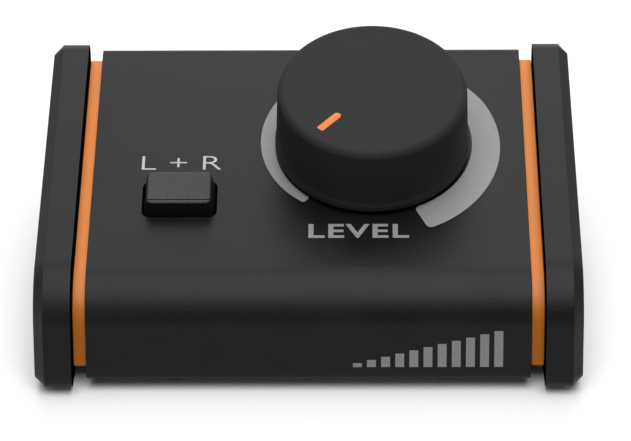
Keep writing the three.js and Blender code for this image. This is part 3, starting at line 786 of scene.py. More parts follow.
@dataclass(frozen=True)
class GrainFinish:
    """A sprayed or moulded surface with a fine grain, faint mottling and a highlight painted along its
    edges.
    """

    name: str
    colour: Triple
    roughness: float = 0.42
    grain_size: float = 0.0004
    grain_depth: float = 0.00002
    specular: float = 0.3
    speckle: float = 0.1
    mottle: float = 0.12
    mottle_size: float = 0.012
    mottle_reach: float = 0.15
    gloss_change: float = 0.04
    edge_highlight_colour: Triple | None = None
    edge_radius: float = 0.0003
    edge_highlight_share: float = 0.5

    def build(self) -> Material:
        """Wires the material.

        Returns:
            The finished material.
        """
        shader = Shader(self.name)
        fine = shader.noise(self.grain_size, detail=3.0, roughness=0.6)
        broad = shader.noise(self.mottle_size)
        patchy = shader.vary(broad, 1, self.mottle, self.mottle_reach)
        grainy = shader.vary(fine, 1, self.speckle)
        level = shader.math("MULTIPLY", patchy, grainy)
        scaled = shader.add("VectorMath", operation="SCALE", Vector=self.colour, Scale=level)
        colour = scaled.outputs["Vector"]
        # A paler colour along rounded edges is a painted highlight, broken up by the grain
        if self.edge_highlight_colour:
            lit_edges = shader.math("MULTIPLY", shader.edge_highlight_share(self.edge_radius), grainy)
            painted_highlight = shader.math("MULTIPLY", lit_edges, self.edge_highlight_share)
            colour = shader.mix(painted_highlight, colour, self.edge_highlight_colour)
        shader.raise_by(fine, self.grain_depth)
        gloss = shader.vary(broad, self.roughness, self.gloss_change)
        return shader.dress(Base_Color=colour, Roughness=gloss, Specular_IOR_Level=self.specular)


@dataclass(frozen=True)
class MetalFinish:
    """Plated or bare metal with fine scratches and patchy gloss."""

    name: str
    colour: Triple
    roughness: float
    metallic: float = 1.0
    scratch_size: float = 0.0002
    scratch_depth: float = 0.000004
    scratch_squeeze: Triple = (1, 6, 1)
    patches_per_metre: float = 260.0
    gloss_change: float = 0.08
    dull_share: float = 0.72
    dull_span: Pair = (0.4, 0.75)
    dull_most: float = 0.6

    def build(self) -> Material:
        """Wires the material.

        Returns:
            The finished material.
        """
        shader = Shader(self.name)
        squeezed = shader.add("Mapping", Vector=shader.place, Scale=self.scratch_squeeze)
        scratch = shader.noise(self.scratch_size, place=squeezed.outputs["Vector"])
        broad = shader.noise(1 / self.patches_per_metre, detail=3.0)
        gloss = shader.vary(broad, self.roughness, self.gloss_change)
        dullness = shader.span(broad, *self.dull_span, 0, self.dull_most)
        colour = shader.mix(dullness, self.colour, dimmed(self.colour, self.dull_share))
        shader.raise_by(scratch, self.scratch_depth)
        return shader.dress(Base_Color=colour, Roughness=gloss, Metallic=self.metallic)


@dataclass(frozen=True)
class BoardFinish:
    """Lacquered circuit board with copper tracks under the mask."""

    name: str
    mask: Triple = (0.012, 0.085, 0.03)
    track: Triple = (0.025, 0.15, 0.05)
    pitch: float = 0.0026
    disorder: float = 0.55
    rings_per_cell: float = 2.4
    track_span: Pair = (0.62, 0.66)
    track_height: float = 0.00002
    roughness: float = 0.35
    specular: float = 0.45

    def build(self) -> Material:
        """Wires the material.

        Returns:
            The finished material.
        """
        shader = Shader(self.name)
        cells = shader.add(
            "Voronoi",
            distance="MANHATTAN",
            Vector=shader.place,
            Scale=1 / self.pitch,
            Randomness=self.disorder,
        )
        steps = shader.math("MULTIPLY", cells.outputs["Distance"], self.rings_per_cell)
        tracks = shader.span(shader.math("FRACT", steps), *self.track_span)
        colour = shader.mix(tracks, self.mask, self.track)
        shader.raise_by(tracks, self.track_height)
        return shader.dress(
            Base_Color=colour, Roughness=self.roughness, Specular_IOR_Level=self.specular
        )


@dataclass(frozen=True)
class RibbonFinish:
    """Flat cable jacket with a groove between its cores, darkened with painted shade."""

    name: str
    colour: Triple = (0.2, 0.2, 0.21)
    core_pitch: float = 0.00095
    core_height: float = 0.0002
    groove_reach: float = 0.5
    groove_shade_share: float = 0.35
    roughness: float = 0.5
    specular: float = 0.4

    def build(self) -> Material:
        """Wires the material.

        Returns:
            The finished material.
        """
        shader = Shader(self.name)
        across = shader.add("SeparateXYZ", Vector=shader.place).outputs["X"]
        turn = shader.math("MULTIPLY", across, math.pi / self.core_pitch)
        ridge = shader.math("ABSOLUTE", shader.math("SINE", turn))
        shader.raise_by(ridge, self.core_height)
        # The groove is darkened in colour: painted shade
        groove = shader.span(ridge, 0, self.groove_reach, 1, 0)
        colour = shader.mix(groove, self.colour, dimmed(self.colour, self.groove_shade_share))
        return shader.dress(
            Base_Color=colour, Roughness=self.roughness, Specular_IOR_Level=self.specular
        )


@dataclass(frozen=True)
class InkFinish:
    """Screen-printed ink that lets the coat's grain show through."""

    name: str
    colour: Triple
    thin_colour: Triple
    grain_size: float = 0.00035
    grain_depth: float = 0.00002
    thin_span: Pair = (0.45, 0.75)
    thin_most: float = 0.6
    roughness: float = 0.6
    specular: float = 0.25

    def build(self) -> Material:
        """Wires the material.

        Returns:
            The finished material.
        """
        shader = Shader(self.name)
        grain = shader.noise(self.grain_size, detail=3.0)
        thin = shader.span(grain, *self.thin_span, 0, self.thin_most)
        shader.raise_by(grain, self.grain_depth)
        colour = shader.mix(thin, self.colour, self.thin_colour)
        return shader.dress(
            Base_Color=colour, Roughness=self.roughness, Specular_IOR_Level=self.specular
        )


Finish = GrainFinish | MetalFinish | BoardFinish | RibbonFinish | InkFinish

# Where a finish has an edge colour, that paler colour is a highlight painted along its rounded edges
FINISHES: dict[Slot, Finish] = {
    Slot.POWDER_COAT: GrainFinish(
        "powder coat",
        (0.008, 0.008, 0.0083),
        roughness=0.36,
        grain_size=0.00035,
        grain_depth=0.00003,
        specular=0.18,
        edge_highlight_colour=grey(0.04),
    ),
    Slot.CHEEK_PLASTIC: GrainFinish(
        "cheek plastic",
        (0.008, 0.008, 0.0083),
        roughness=0.36,
        grain_depth=0.00004,
        specular=0.18,
        edge_highlight_colour=grey(0.035),
    ),
    Slot.ORANGE_PLATE: GrainFinish(
        "orange plate",
        (0.78, 0.21, 0.005),
        grain_size=0.0003,
        specular=0.5,
        mottle=0.04,
        edge_highlight_colour=(0.8, 0.34, 0.12),
        edge_radius=0.0002,
        edge_highlight_share=0.8,
    ),
    Slot.SOFT_TOUCH: GrainFinish(
        "soft touch",
        (0.03, 0.03, 0.0304),
        roughness=0.55,
        grain_size=0.00018,
        grain_depth=0.00001,
        specular=0.06,
        mottle=0.05,
        speckle=0.04,
    ),
    Slot.POINTER_ORANGE: GrainFinish(
        "pointer orange",
        (0.8, 0.2, 0.035),
        roughness=0.45,
        grain_size=0.0003,
        grain_depth=0.00001,
        mottle=0.03,
        speckle=0.03,
        edge_highlight_colour=(0.86, 0.36, 0.18),
        edge_radius=0.0002,
        edge_highlight_share=0.8,
    ),
    Slot.GRAINED_PLASTIC: GrainFinish(
        "grained plastic",
        (0.009, 0.009, 0.0092),
        grain_size=0.00028,
        grain_depth=0.0002,
        specular=0.6,
        mottle=0.1,
        speckle=0.3,
    ),
    Slot.FOOT_RUBBER: GrainFinish(
        "foot rubber",
        grey(0.018),
        roughness=0.8,
        grain_depth=0.00004,
        specular=0.2,
        edge_highlight_colour=grey(0.05),
    ),
    Slot.SOCKET_PLASTIC: GrainFinish(
        "socket plastic",
        (0.016, 0.016, 0.017),
        grain_size=0.0005,
        specular=0.45,
        edge_highlight_colour=grey(0.04),
        edge_radius=0.0002,
    ),
    Slot.PALE_NYLON: GrainFinish(
        "pale nylon", (0.66, 0.63, 0.56), roughness=0.5, grain_size=0.0006, specular=0.4, mottle=0.05
    ),
    Slot.BLACK_SCREW: MetalFinish("black oxide", (0.035, 0.035, 0.037), roughness=0.42, metallic=0.6),
    Slot.ZINC_SHEET: MetalFinish("zinc sheet", (0.62, 0.63, 0.64), roughness=0.38),
    Slot.BRASS: MetalFinish("turned brass", (0.72, 0.52, 0.22), roughness=0.3),
    Slot.NICKEL: MetalFinish("nickel plate", (0.5, 0.485, 0.455), roughness=0.3),
    Slot.BOARD_GREEN: BoardFinish("circuit board"),
    Slot.RIBBON_GREY: RibbonFinish("ribbon jacket"),
}
# Cheek plastic made darker and without gloss, for the cheeks' inner faces: painted shade in the gap
# beside the orange plates
CHEEK_WALL_SHADE = GrainFinish(
    "cheek wall shade", (0.006, 0.006, 0.0062), roughness=0.8, grain_depth=0.00004, specular=0.0
)
RING_INK = InkFinish("ring ink", grey(0.3), grey(0.21))
LEGEND_INK = InkFinish("legend ink", grey(0.31), grey(0.22))
LETTER_INK = InkFinish("letter ink", grey(0.5), grey(0.4))


class PaintShop:
    """Builds each finish once and dresses the pieces."""

    def __init__(self) -> None:
        """Starts with nothing mixed."""
        self.ready: dict[Finish, Material] = {}

    def mix(self, finish: Finish) -> Material:
        """Builds a finish at its first use.

        Args:
            finish: the finish.

        Returns:
            Its material.
        """
        if finish not in self.ready:
            self.ready[finish] = finish.build()
        return self.ready[finish]

    def dress(
        self, piece: Workpiece, slot: Slot, body: Body, *replaced: str, ink: InkFinish | None = None
    ) -> None:
        """Finishes a piece and hangs it on its body.

        Args:
            piece: the shaped piece, in place.
            slot: the record's finish.
            body: the body that carries it.
            replaced: CAD nodes that it stands for.
            ink: the ink of a print, instead of the slot's own finish.
        """
        piece.item.data.materials.clear()
        piece.item.data.materials.append(self.mix(ink or FINISHES[slot]))
        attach(piece.item, body.value)
        if replaced:
            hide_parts(*replaced)
        LOG.info("%s: %d faces on %s", piece.item.name, len(piece.item.data.polygons), body.value)

    def dress_copies(self, pattern: Workpiece, made: str, slot: Slot, places: dict[str, Matrix]) -> None:
        """Copies a pattern piece to its places on the case, and removes the pattern.

        Args:
            pattern: the piece that is copied.
            made: how it is made, as the ending of each copy's name.
            slot: the record's finish.
            places: where each copy goes, by the CAD node that it stands for.
        """
        for node, place in places.items():
            self.dress(pattern.copied(f"{node}_{made}", place), slot, Body.CASE, node)
        pattern.discard()


# The case


@dataclass(frozen=True)
class Margins:
    """How far an outline stands out of the case on each side, or in if below zero."""

    bottom: float = 0.0
    back: float = 0.0
    top: float = 0.0
    front: float = 0.0

    def grown(self, by: float) -> "Margins":
        """The same margins, all moved out by one distance."""
        return Margins(self.bottom + by, self.back + by, self.top + by, self.front + by)


@dataclass(frozen=True)
class CaseShape:
    """The folded case seen from its end, and the panel on its slope."""

    panel_place: Vector
    width: float = 0.0852
    slope: float = 17.0
    panel_length: float = 0.06775
    front_height: float = 0.01745
    front_lean: float = 13.4
    fold_radius: float = 0.012
    sheet: float = 0.001
    sheet_fit: float = 0.0001
    hem_radius: float = 0.0012
    knob_from_back: float = 0.02885
    button_place: Pair = (-0.0253, -0.0145)
    fold_segments: int = 24
    hem_segments: int = 6

    @property
    def apex(self) -> Vector:
        """Corner between front and slope, from the case's front bottom corner."""
        back = self.front_height * math.tan(math.radians(self.front_lean))
        return Vector((0, back, self.front_height))

    @property
    def back_top(self) -> Vector:
        """Corner between slope and back, from the case's front bottom corner."""
        return self.apex + self.up_slope * self.panel_length

    @property
    def up_slope(self) -> Vector:
        """Direction up the sloped panel."""
        return Vector((0, math.cos(math.radians(self.slope)), math.sin(math.radians(self.slope))))

    @property
    def depth(self) -> float:
        """Depth of the case."""
        return self.back_top.y

    @property
    def rear_face(self) -> float:
        """Outer face of the tray's rear panel, from the case's front."""
        return self.depth - self.sheet - self.sheet_fit

    @property
    def origin(self) -> Vector:
        """The case's front bottom corner, on its middle."""
        foot = self.back_top - self.up_slope * self.knob_from_back
        return Vector((0, self.panel_place.y - foot.y, self.panel_place.z - foot.z))

    def at(self, across: float, back: float, up: float) -> Vector:
        """A point given from the case's front bottom corner, on its middle."""
        return self.origin + Vector((across, back, up))

    def normal(self, side: Side) -> Vector:
        """Gives the outward normal of one side.

        Args:
            side: the side.

        Returns:
            Its unit normal.
        """
        lean, slope = math.radians(self.front_lean), math.radians(self.slope)
        return {
            Side.BOTTOM: -UP,
            Side.BACK: BACK,
            Side.TOP: Vector((0, -math.sin(slope), math.cos(slope))),
            Side.FRONT: Vector((0, -math.cos(lean), math.sin(lean))),
        }[side]

    def on_panel(self, across: float = 0, up_slope: float = 0, out: float = 0) -> Matrix:
        """Frame on the panel, from the point level with the knob on the case's middle."""
        foot = Matrix.Translation((0, self.panel_place.y, self.panel_place.z))
        return foot @ rotation("X", self.slope) @ Matrix.Translation((across, up_slope, out))

    def on_front(self, out: float) -> Matrix:
        """Frame on the leaning front, from its bottom corner on the case's middle."""
        lean = rotation("X", RIGHT_ANGLE - self.front_lean)
        return Matrix.Translation(self.origin) @ lean @ Matrix.Translation((0, 0, out))

    def on_rear(self, out: float) -> Matrix:
        """Frame on the rear panel seen from behind, from the case's bottom on its middle.

        Args:
            out: how far it stands out of the panel.

        Returns:
            The frame.
        """
        seat = Matrix.Translation(self.at(0, self.rear_face, 0))
        upright = rotation("Z", 2 * RIGHT_ANGLE) @ rotation("X", RIGHT_ANGLE)
        return seat @ upright @ Matrix.Translation((0, 0, out))

    def wedge(
        self, name: str, left: float, right: float, margins: Margins, corner: float, segments: int = 6
    ) -> Workpiece:
        """A block with the case's side outline: front, fold, slope, back and bottom.

        Args:
            name: name of the piece.
            left: where it begins across.
            right: where it ends across.
            margins: how far it stands out of the case.
            corner: radius of its three tight corners.
            segments: steps in each tight corner.

        Returns:
            The wedge with all its long edges rounded.
        """
        low = self.at(left, -self.front_height, -margins.bottom)
        high = self.at(right, self.depth + margins.back, self.back_top.z + self.front_height)
        piece = Workpiece.block(name, low, high)
        for side, margin in ((Side.TOP, margins.top), (Side.FRONT, margins.front)):
            normal = self.normal(side)
            piece.split(self.origin + self.apex + normal * margin, normal, cut_off=True)
        fold = self.fold_radius + margins.top
        piece.round_edges(self.between(Side.TOP, Side.FRONT), fold, self.fold_segments)
        for pair in pairwise((Side.FRONT, Side.BOTTOM, Side.BACK, Side.TOP)):
            piece.round_edges(self.between(*pair), corner, segments)
        return piece

    def between(self, first: Side, second: Side) -> EdgeTest:
        """Makes a test for the edge where two sides meet.

        Args:
            first: one side.
            second: the other side.

        Returns:
            The test.
        """
        on_first, on_second = faces_along(self.normal(first)), faces_along(self.normal(second))

        def test(edge: bmesh.types.BMEdge) -> bool:
            one, other = edge.link_faces
            return on_first(one) and on_second(other) or on_first(other) and on_second(one)

        return test


@dataclass(frozen=True)
class Screw:
    """Black or plated screw with a crowned head and a hexagon socket."""

    head_radius: float
    head_height: float
    shank_radius: float
    shank_length: float
    socket_share: float = 0.42
    socket_depth_share: float = 0.6
    crown_share: float = 0.72
    thread_share: float = 0.7
    root_share: float = 0.1
    thread_pitch: float = 0.0005
    edge: float = 0.00012
    sharp: float = 55

    def pattern(self) -> Workpiece:
        """Turns one screw with its head above zero and its threaded shank below.

        Returns:
            The screw on the z axis.
        """
        head, height = self.head_radius, self.head_height
        corners = [
            (0, -self.shank_length),
            *self.thread(),
            (self.shank_radius, 0),
            (head - self.edge, 0),
            (head, self.edge),
            (head, height * self.crown_share, self.edge),
            (head * self.crown_share, height, 2 * self.edge),
            (0, height),
        ]
        screw = Workpiece.turned("screw", rounded(corners, segments=3), Facets.MEDIUM)
        low, high = height * (1 - self.socket_depth_share), height + PAST
        radius = hexagon_radius(head * self.socket_share)
        screw.cut(Workpiece.rod("socket", low * UP, high * UP, radius, Facets.HEXAGON))
        return screw.soften(self.edge / 2, angle=self.sharp).smooth()

    def thread(self) -> list[Pair]:
        """Works out the ridges and grooves of the shank.

        Returns:
            Radius and height of each corner, from the tip upwards.
        """
        root = self.shank_radius - self.thread_pitch / 2
        turns = int(self.shank_length * self.thread_share / self.thread_pitch)
        ridges = [(root, -self.shank_length)]
        for turn in range(turns):
            low = -self.shank_length + turn * self.thread_pitch
            ridges.append((root, low + self.thread_pitch * self.root_share))
            ridges.append((self.shank_radius, low + self.thread_pitch / 2))
        ridges.append((root, -self.shank_length + turns * self.thread_pitch))
        return ridges


@dataclass
class CaseScrews:
    """Two rear and two base screws that hold the cover to the tray."""

    case: CaseShape
    rear_side_inset: float = 0.0066
    rear_drop: float = 0.0049
    base_side_inset: float = 0.0166
    base_front_inset: float = 0.005
    seat_gap: float = 0.0001
    hole_radius: float = 0.00145
    screw: Screw = Screw(
        head_radius=0.0026, head_height=0.0015, shank_radius=0.0013, shank_length=0.0044
    )

    def places(self) -> dict[str, tuple[Vector, Vector]]:
        """Works out where the screws sit.

        Returns:
            Seat and outward direction of each screw, by its CAD node.
        """
        case, places = self.case, {}
        for row, inset, back, up, normal in (
            ("rear", self.rear_side_inset, case.depth, case.back_top.z - self.rear_drop, BACK),
            ("base", self.base_side_inset, self.base_front_inset, 0, -UP),
        ):
            for side, sign in SIDES:
                place = case.at(sign * (case.width / 2 - inset), back, up)
                places[f"{row}_screw_{side}"] = (place, normal)
        return places

    def drills(self, inwards: float, outwards: float) -> list[Workpiece]:
        """Makes a rod for each screw's hole.

        Args:
            inwards: how far it reaches into the case from the screw's seat.
            outwards: how far it reaches out from there.

        Returns:
            The rods.
        """
        drills = []
        for place, normal in self.places().values():
            near, far = place - normal * inwards, place + normal * outwards
            drills.append(Workpiece.rod("screw hole", near, far, self.hole_radius, Facets.COARSE))
        return drills

    def build(self, shop: PaintShop) -> None:
        """Turns one screw and sets it in its four places.

        Args:
            shop: where the finishes come from.
        """
        frames = {}
        for node, (place, normal) in self.places().items():
            frames[node] = Matrix.Translation(place + normal * self.seat_gap) @ facing(normal)
        shop.dress_copies(self.screw.pattern(), "turned", Slot.BLACK_SCREW, frames)


@dataclass
class CheekScrews:
    """Three screws in each cheek."""

    case: CaseShape
    reach: float = 0.0525
    front_inset: float = 0.012
    rear_inset: float = 0.0107
    low: float = 0.009
    high: float = 0.026
    hole_radius: float = 0.0016
    head_radius: float = 0.00275
    head_height: float = 0.0017
    shank_radius: float = 0.00145
    tip_past_wall: float = 0.0016

    def axes(self) -> dict[str, Vector]:
        """Works out where the screws' axes are.

        Returns:
            A point of each axis on the case's middle, by the screw's row.
        """
        rear = self.case.depth - self.rear_inset
        return {
            "front": self.case.at(0, self.front_inset, self.low),
            "rear_low": self.case.at(0, rear, self.low),
            "rear_high": self.case.at(0, rear, self.high),
        }

    def drills(self, near: float, far: float, radius: float, sides: Facets) -> list[Workpiece]:
        """Makes a rod on each screw's axis.

        Args:
            near: where it begins across.
            far: where it ends across.
            radius: its radius.
            sides: number of its sides.

        Returns:
            The rods.
        """
        return [
            Workpiece.rod("cheek drill", axis + near * ACROSS, axis + far * ACROSS, radius, sides)
            for axis in self.axes().values()
        ]

    def build(self, shop: PaintShop) -> None:
        """Turns one screw and sets it in its six places.

        Args:
            shop: where the finishes come from.
        """
        seat = self.reach - self.head_height
        length = seat - (self.case.width / 2 - self.case.sheet) + self.tip_past_wall
        screw = Screw(self.head_radius, self.head_height, self.shank_radius, length)
        frames = {}
        for side, sign in SIDES:
            for row, axis in self.axes().items():
                place = Matrix.Translation(axis + sign * seat * ACROSS)
                frames[f"cheek_screw_{side}_{row}"] = place @ rotation("Y", sign * RIGHT_ANGLE)
        shop.dress_copies(screw.pattern(), "turned", Slot.BLACK_SCREW, frames)


@dataclass
class BoardScrews:
    """Two small screws that hold the socket board to its posts."""

    case: CaseShape
    side_inset: float = 0.0096
    from_front: float = 0.028
    board_top: float = 0.0057
    seat_gap: float = 0.0001
    screw: Screw = Screw(
        head_radius=0.002, head_height=0.0013, shank_radius=0.00095, shank_length=0.0032
    )

    def build(self, shop: PaintShop) -> None:
        """Turns one screw and sets it in both places.

        Args:
            shop: where the finishes come from.
        """
        across, up = self.case.width / 2 - self.side_inset, self.board_top + self.seat_gap
        frames = {
            f"board_screw_{side}": Matrix.Translation(self.case.at(sign * across, self.from_front, up))
            for side, sign in SIDES
        }
        shop.dress_copies(self.screw.pattern(), "turned", Slot.NICKEL, frames)


@dataclass
class TopShell:
    """Folded sheet-metal cover: bottom flange, front, fold, sloped top and rear flange."""

    case: CaseShape
    rear_flange_height: float = 0.008
    bottom_flange_depth: float = 0.009
    rim: float = 0.00012
    window: Pair = (0.0146, 0.0095)
    window_corner: float = 0.0015
    bushing_hole: float = 0.0037

    def build(self, shop: PaintShop) -> None:
        """Folds the sheet, cuts its openings and coats it.

        Args:
            shop: where the finishes come from.
        """
        case = self.case
        half = case.width / 2
        shell = case.wedge("cover", -half, half, Margins(), case.hem_radius, case.hem_segments)
        back = case.at(0, case.depth, case.back_top.z - self.rear_flange_height)
        flange = case.at(0, self.bottom_flange_depth, 0)
        shell.split(back, UP)
        shell.split(flange, BACK)
        shell.delete_faces(lambda face: abs(face.normal.x) > ALIGNED)
        shell.delete_faces(lambda face: self.is_open(face.calc_center_median(), back, flange))
        shell.add_modifier("SOLIDIFY", thickness=case.sheet, offset=-1, use_even_offset=True)
        bushing = Workpiece.rod("bushing hole", -PAST * UP, PAST * UP, self.bushing_hole)
        bushing.place(case.on_panel(case.panel_place.x))
        shell.cut(self.window_cutter(), bushing, *CaseScrews(case).drills(PAST, PAST))
        shell.soften(self.rim, angle=SHARP_BY_HOLES).smooth()
        shop.dress(shell, Slot.POWDER_COAT, Body.CASE, "top_shell")

    def is_open(self, spot: Vector, back: Vector, flange: Vector) -> bool:
        """Says whether a face lies where the cover is open.

        Args:
            spot: the face's middle.
            back: lower edge of the rear flange.
            flange: rear edge of the bottom flange.

        Returns:
            Whether it is under the rear flange or behind the bottom one.
        """
        hem = self.case.hem_radius
        behind = spot.y > flange.y and spot.z < self.case.origin.z + hem
        below = spot.y > back.y - hem and spot.z < back.z
        return behind or below

    def window_cutter(self) -> Workpiece:
        """Makes the cutter for the button's window.

        Returns:
            A rounded block in the window.
        """
        cutter = Workpiece.pillar("window", *self.window, -PAST, PAST)
        cutter.round_edges(edges_up(ALIGNED), self.window_corner, segments=6)
        return cutter.place(self.case.on_panel(*self.case.button_place))


@dataclass
class Chassis:
    """Folded tray: floor, rear panel with the sockets' holes, and two side walls."""

    case: CaseShape
    rim: float = 0.00012

    def build(self, shop: PaintShop) -> None:
        """Hollows the tray and drills it.

        Args:
            shop: where the finishes come from.
        """
        case = self.case
        half = case.width / 2
        inset = case.sheet + case.sheet_fit
        tray = case.wedge("tray", -half, half, Margins().grown(-inset), case.hem_radius - case.sheet)
        floor = inset + case.sheet
        low = case.at(case.sheet - half, -PAST, floor)
        high = case.at(half - case.sheet, case.depth - floor, case.back_top.z + PAST)
        tray.cut(
            Workpiece.block("room", low, high),
            *Sockets(case).drills(),
            *CaseScrews(case).drills(PAST + case.sheet, 0),
            *CheekScrews(case).drills(-case.width, case.width, CheekScrews.hole_radius, Facets.COARSE),
        )
        tray.soften(self.rim, angle=SHARP_BY_HOLES).smooth()
        shop.dress(tray, Slot.POWDER_COAT, Body.CASE, "chassis")


@dataclass
class Ends:
    """Moulded end cheeks and the orange plates between them and the case."""

    case: CaseShape
    cheek_thickness: float = 0.0072
    trim_thickness: float = 0.0027
    cheek_margins: Margins = Margins(bottom=0.0015, back=0.0005, top=0.002, front=0.002)
    trim_margins: Margins = Margins(bottom=-0.0013, back=-0.0003, top=-0.0025, front=-0.0025)
    chamfer: float = 0.00195
    corner_radius: float = 0.003
    trim_corner: float = 0.0005
    trim_edge: float = 0.0001
    trim_gap: float = 0.0002
    trim_groove_width: float = 0.00015
    trim_groove_depth: float = 0.0007
    cheek_edge: float = 0.0005
    rim: float = 0.006
    pocket_depth: float = 0.0036
    boss_radius: float = 0.0042
    head_room: float = 0.00315
    head_depth: float = 0.0018
    sharp: float = 28
    curved: float = 30

    def build(self, shop: PaintShop) -> None:
        """Moulds the right-hand pieces and mirrors them to the left.

        Args:
            shop: where the finishes come from.
        """
        for maker, slot, node in (
            (self.cheek, Slot.CHEEK_PLASTIC, "cheek"),
            (self.trim_plate, Slot.ORANGE_PLATE, "trim_plate"),
        ):
            right = maker()
            left = right.copied(f"left_{node}_moulded", MIRROR).smooth()
            for piece, side, inwards in ((right, "right", -ACROSS), (left, "left", ACROSS)):
                shop.dress(piece, slot, Body.CASE, f"{side}_{node}")
                # The cheeks' inner faces take the darker, glossless plastic: painted shade beside the
                # orange plates
                if slot is Slot.CHEEK_PLASTIC:
                    piece.coat(faces_along(inwards), shop.mix(CHEEK_WALL_SHADE))

    def cheek(self) -> Workpiece:
        """Moulds the right cheek.

        Returns:
            A thick plate with a chamfered outer face and a pocket behind.
        """
        inner = self.case.width / 2 + self.trim_thickness
        outer = inner + self.cheek_thickness
        cheek = self.case.wedge(
            "right_cheek_moulded", inner, outer, self.cheek_margins, self.corner_radius, segments=10
        )
        cheek.chamfer_edges(rim_of(ACROSS), self.chamfer)
        screws, seat = CheekScrews(self.case), outer - self.head_depth
        holes = screws.drills(inner - PAST, outer, screws.hole_radius, Facets.MEDIUM)
        seats = screws.drills(seat, outer + PAST, self.head_room, Facets.MEDIUM)
        cheek.cut(self.pocket(inner), *holes, *seats)
        return cheek.soften(self.cheek_edge, segments=3, angle=self.sharp).smooth(self.curved)

    def pocket(self, inner: float) -> Workpiece:
        """Makes the cutter for the cheek's inner side.

        Args:
            inner: place of that side across.

        Returns:
            The hollow, less the bosses round the screws.
        """
        bottom = inner + self.pocket_depth
        margins = self.cheek_margins.grown(-self.rim)
        pocket = self.case.wedge("pocket", inner - PAST, bottom, margins, self.corner_radius)
        screws, before = CheekScrews(self.case), inner - 2 * PAST
        return pocket.cut(*screws.drills(before, bottom + PAST, self.boss_radius, Facets.MEDIUM))

    def trim_plate(self) -> Workpiece:
        """Cuts the right orange plate.

        Returns:
            A plate with a groove along both its edges.
        """
        inner = self.case.width / 2
        outer = inner + self.trim_thickness
        deep = self.trim_margins.grown(-self.trim_groove_depth)
        near, far = inner + self.trim_gap, outer - self.trim_groove_width
        corner = self.trim_corner
        plate = self.case.wedge("right_trim_plate_cut", inner, outer, deep, corner, segments=4)
        edge = self.case.wedge("edge", near, far, self.trim_margins, corner, segments=4)
        plate.combine("UNION", edge)
        screws = CheekScrews(self.case)
        plate.cut(*screws.drills(inner - PAST, outer + PAST, screws.hole_radius, Facets.COARSE))
        return plate.soften(self.trim_edge, segments=3).smooth(self.curved)


@dataclass
class Feet:
    """Four round rubber feet under the tray, dished underneath."""

    case: CaseShape
    radius: float = 0.0045
    taper: float = 0.0005
    edge: float = 0.0004
    side_inset: float = 0.0096
    front_inset: float = 0.017
    rear_inset: float = 0.0107

    def build(self, shop: PaintShop) -> None:
        """Turns one foot and sets it in its four places.

        Args:
            shop: where the finishes come from.
        """
        case = self.case
        top = case.at(0, 0, case.sheet + case.sheet_fit).z
        dish_radius, dish_depth = self.radius / 2, self.edge / 2
        corners = [
            (0, dish_depth),
            (dish_radius, dish_depth, self.edge),
            (dish_radius + self.edge, 0, self.edge / 2),
            (self.radius - self.taper, 0, self.edge),
            (self.radius, top),
            (0, top),
        ]
        pattern = Workpiece.turned("foot", rounded(corners, segments=5), Facets.FINE).smooth()
        across = case.width / 2 - self.side_inset
        frames = {}
        for row, back in (("front", self.front_inset), ("rear", case.depth - self.rear_inset)):
            for side, sign in SIDES:
                place = case.at(sign * across, back, 0)
                frames[f"foot_{row}_{side}"] = Matrix.Translation((place.x, place.y, 0))
        shop.dress_copies(pattern, "rubber", Slot.FOOT_RUBBER, frames)


# The controls


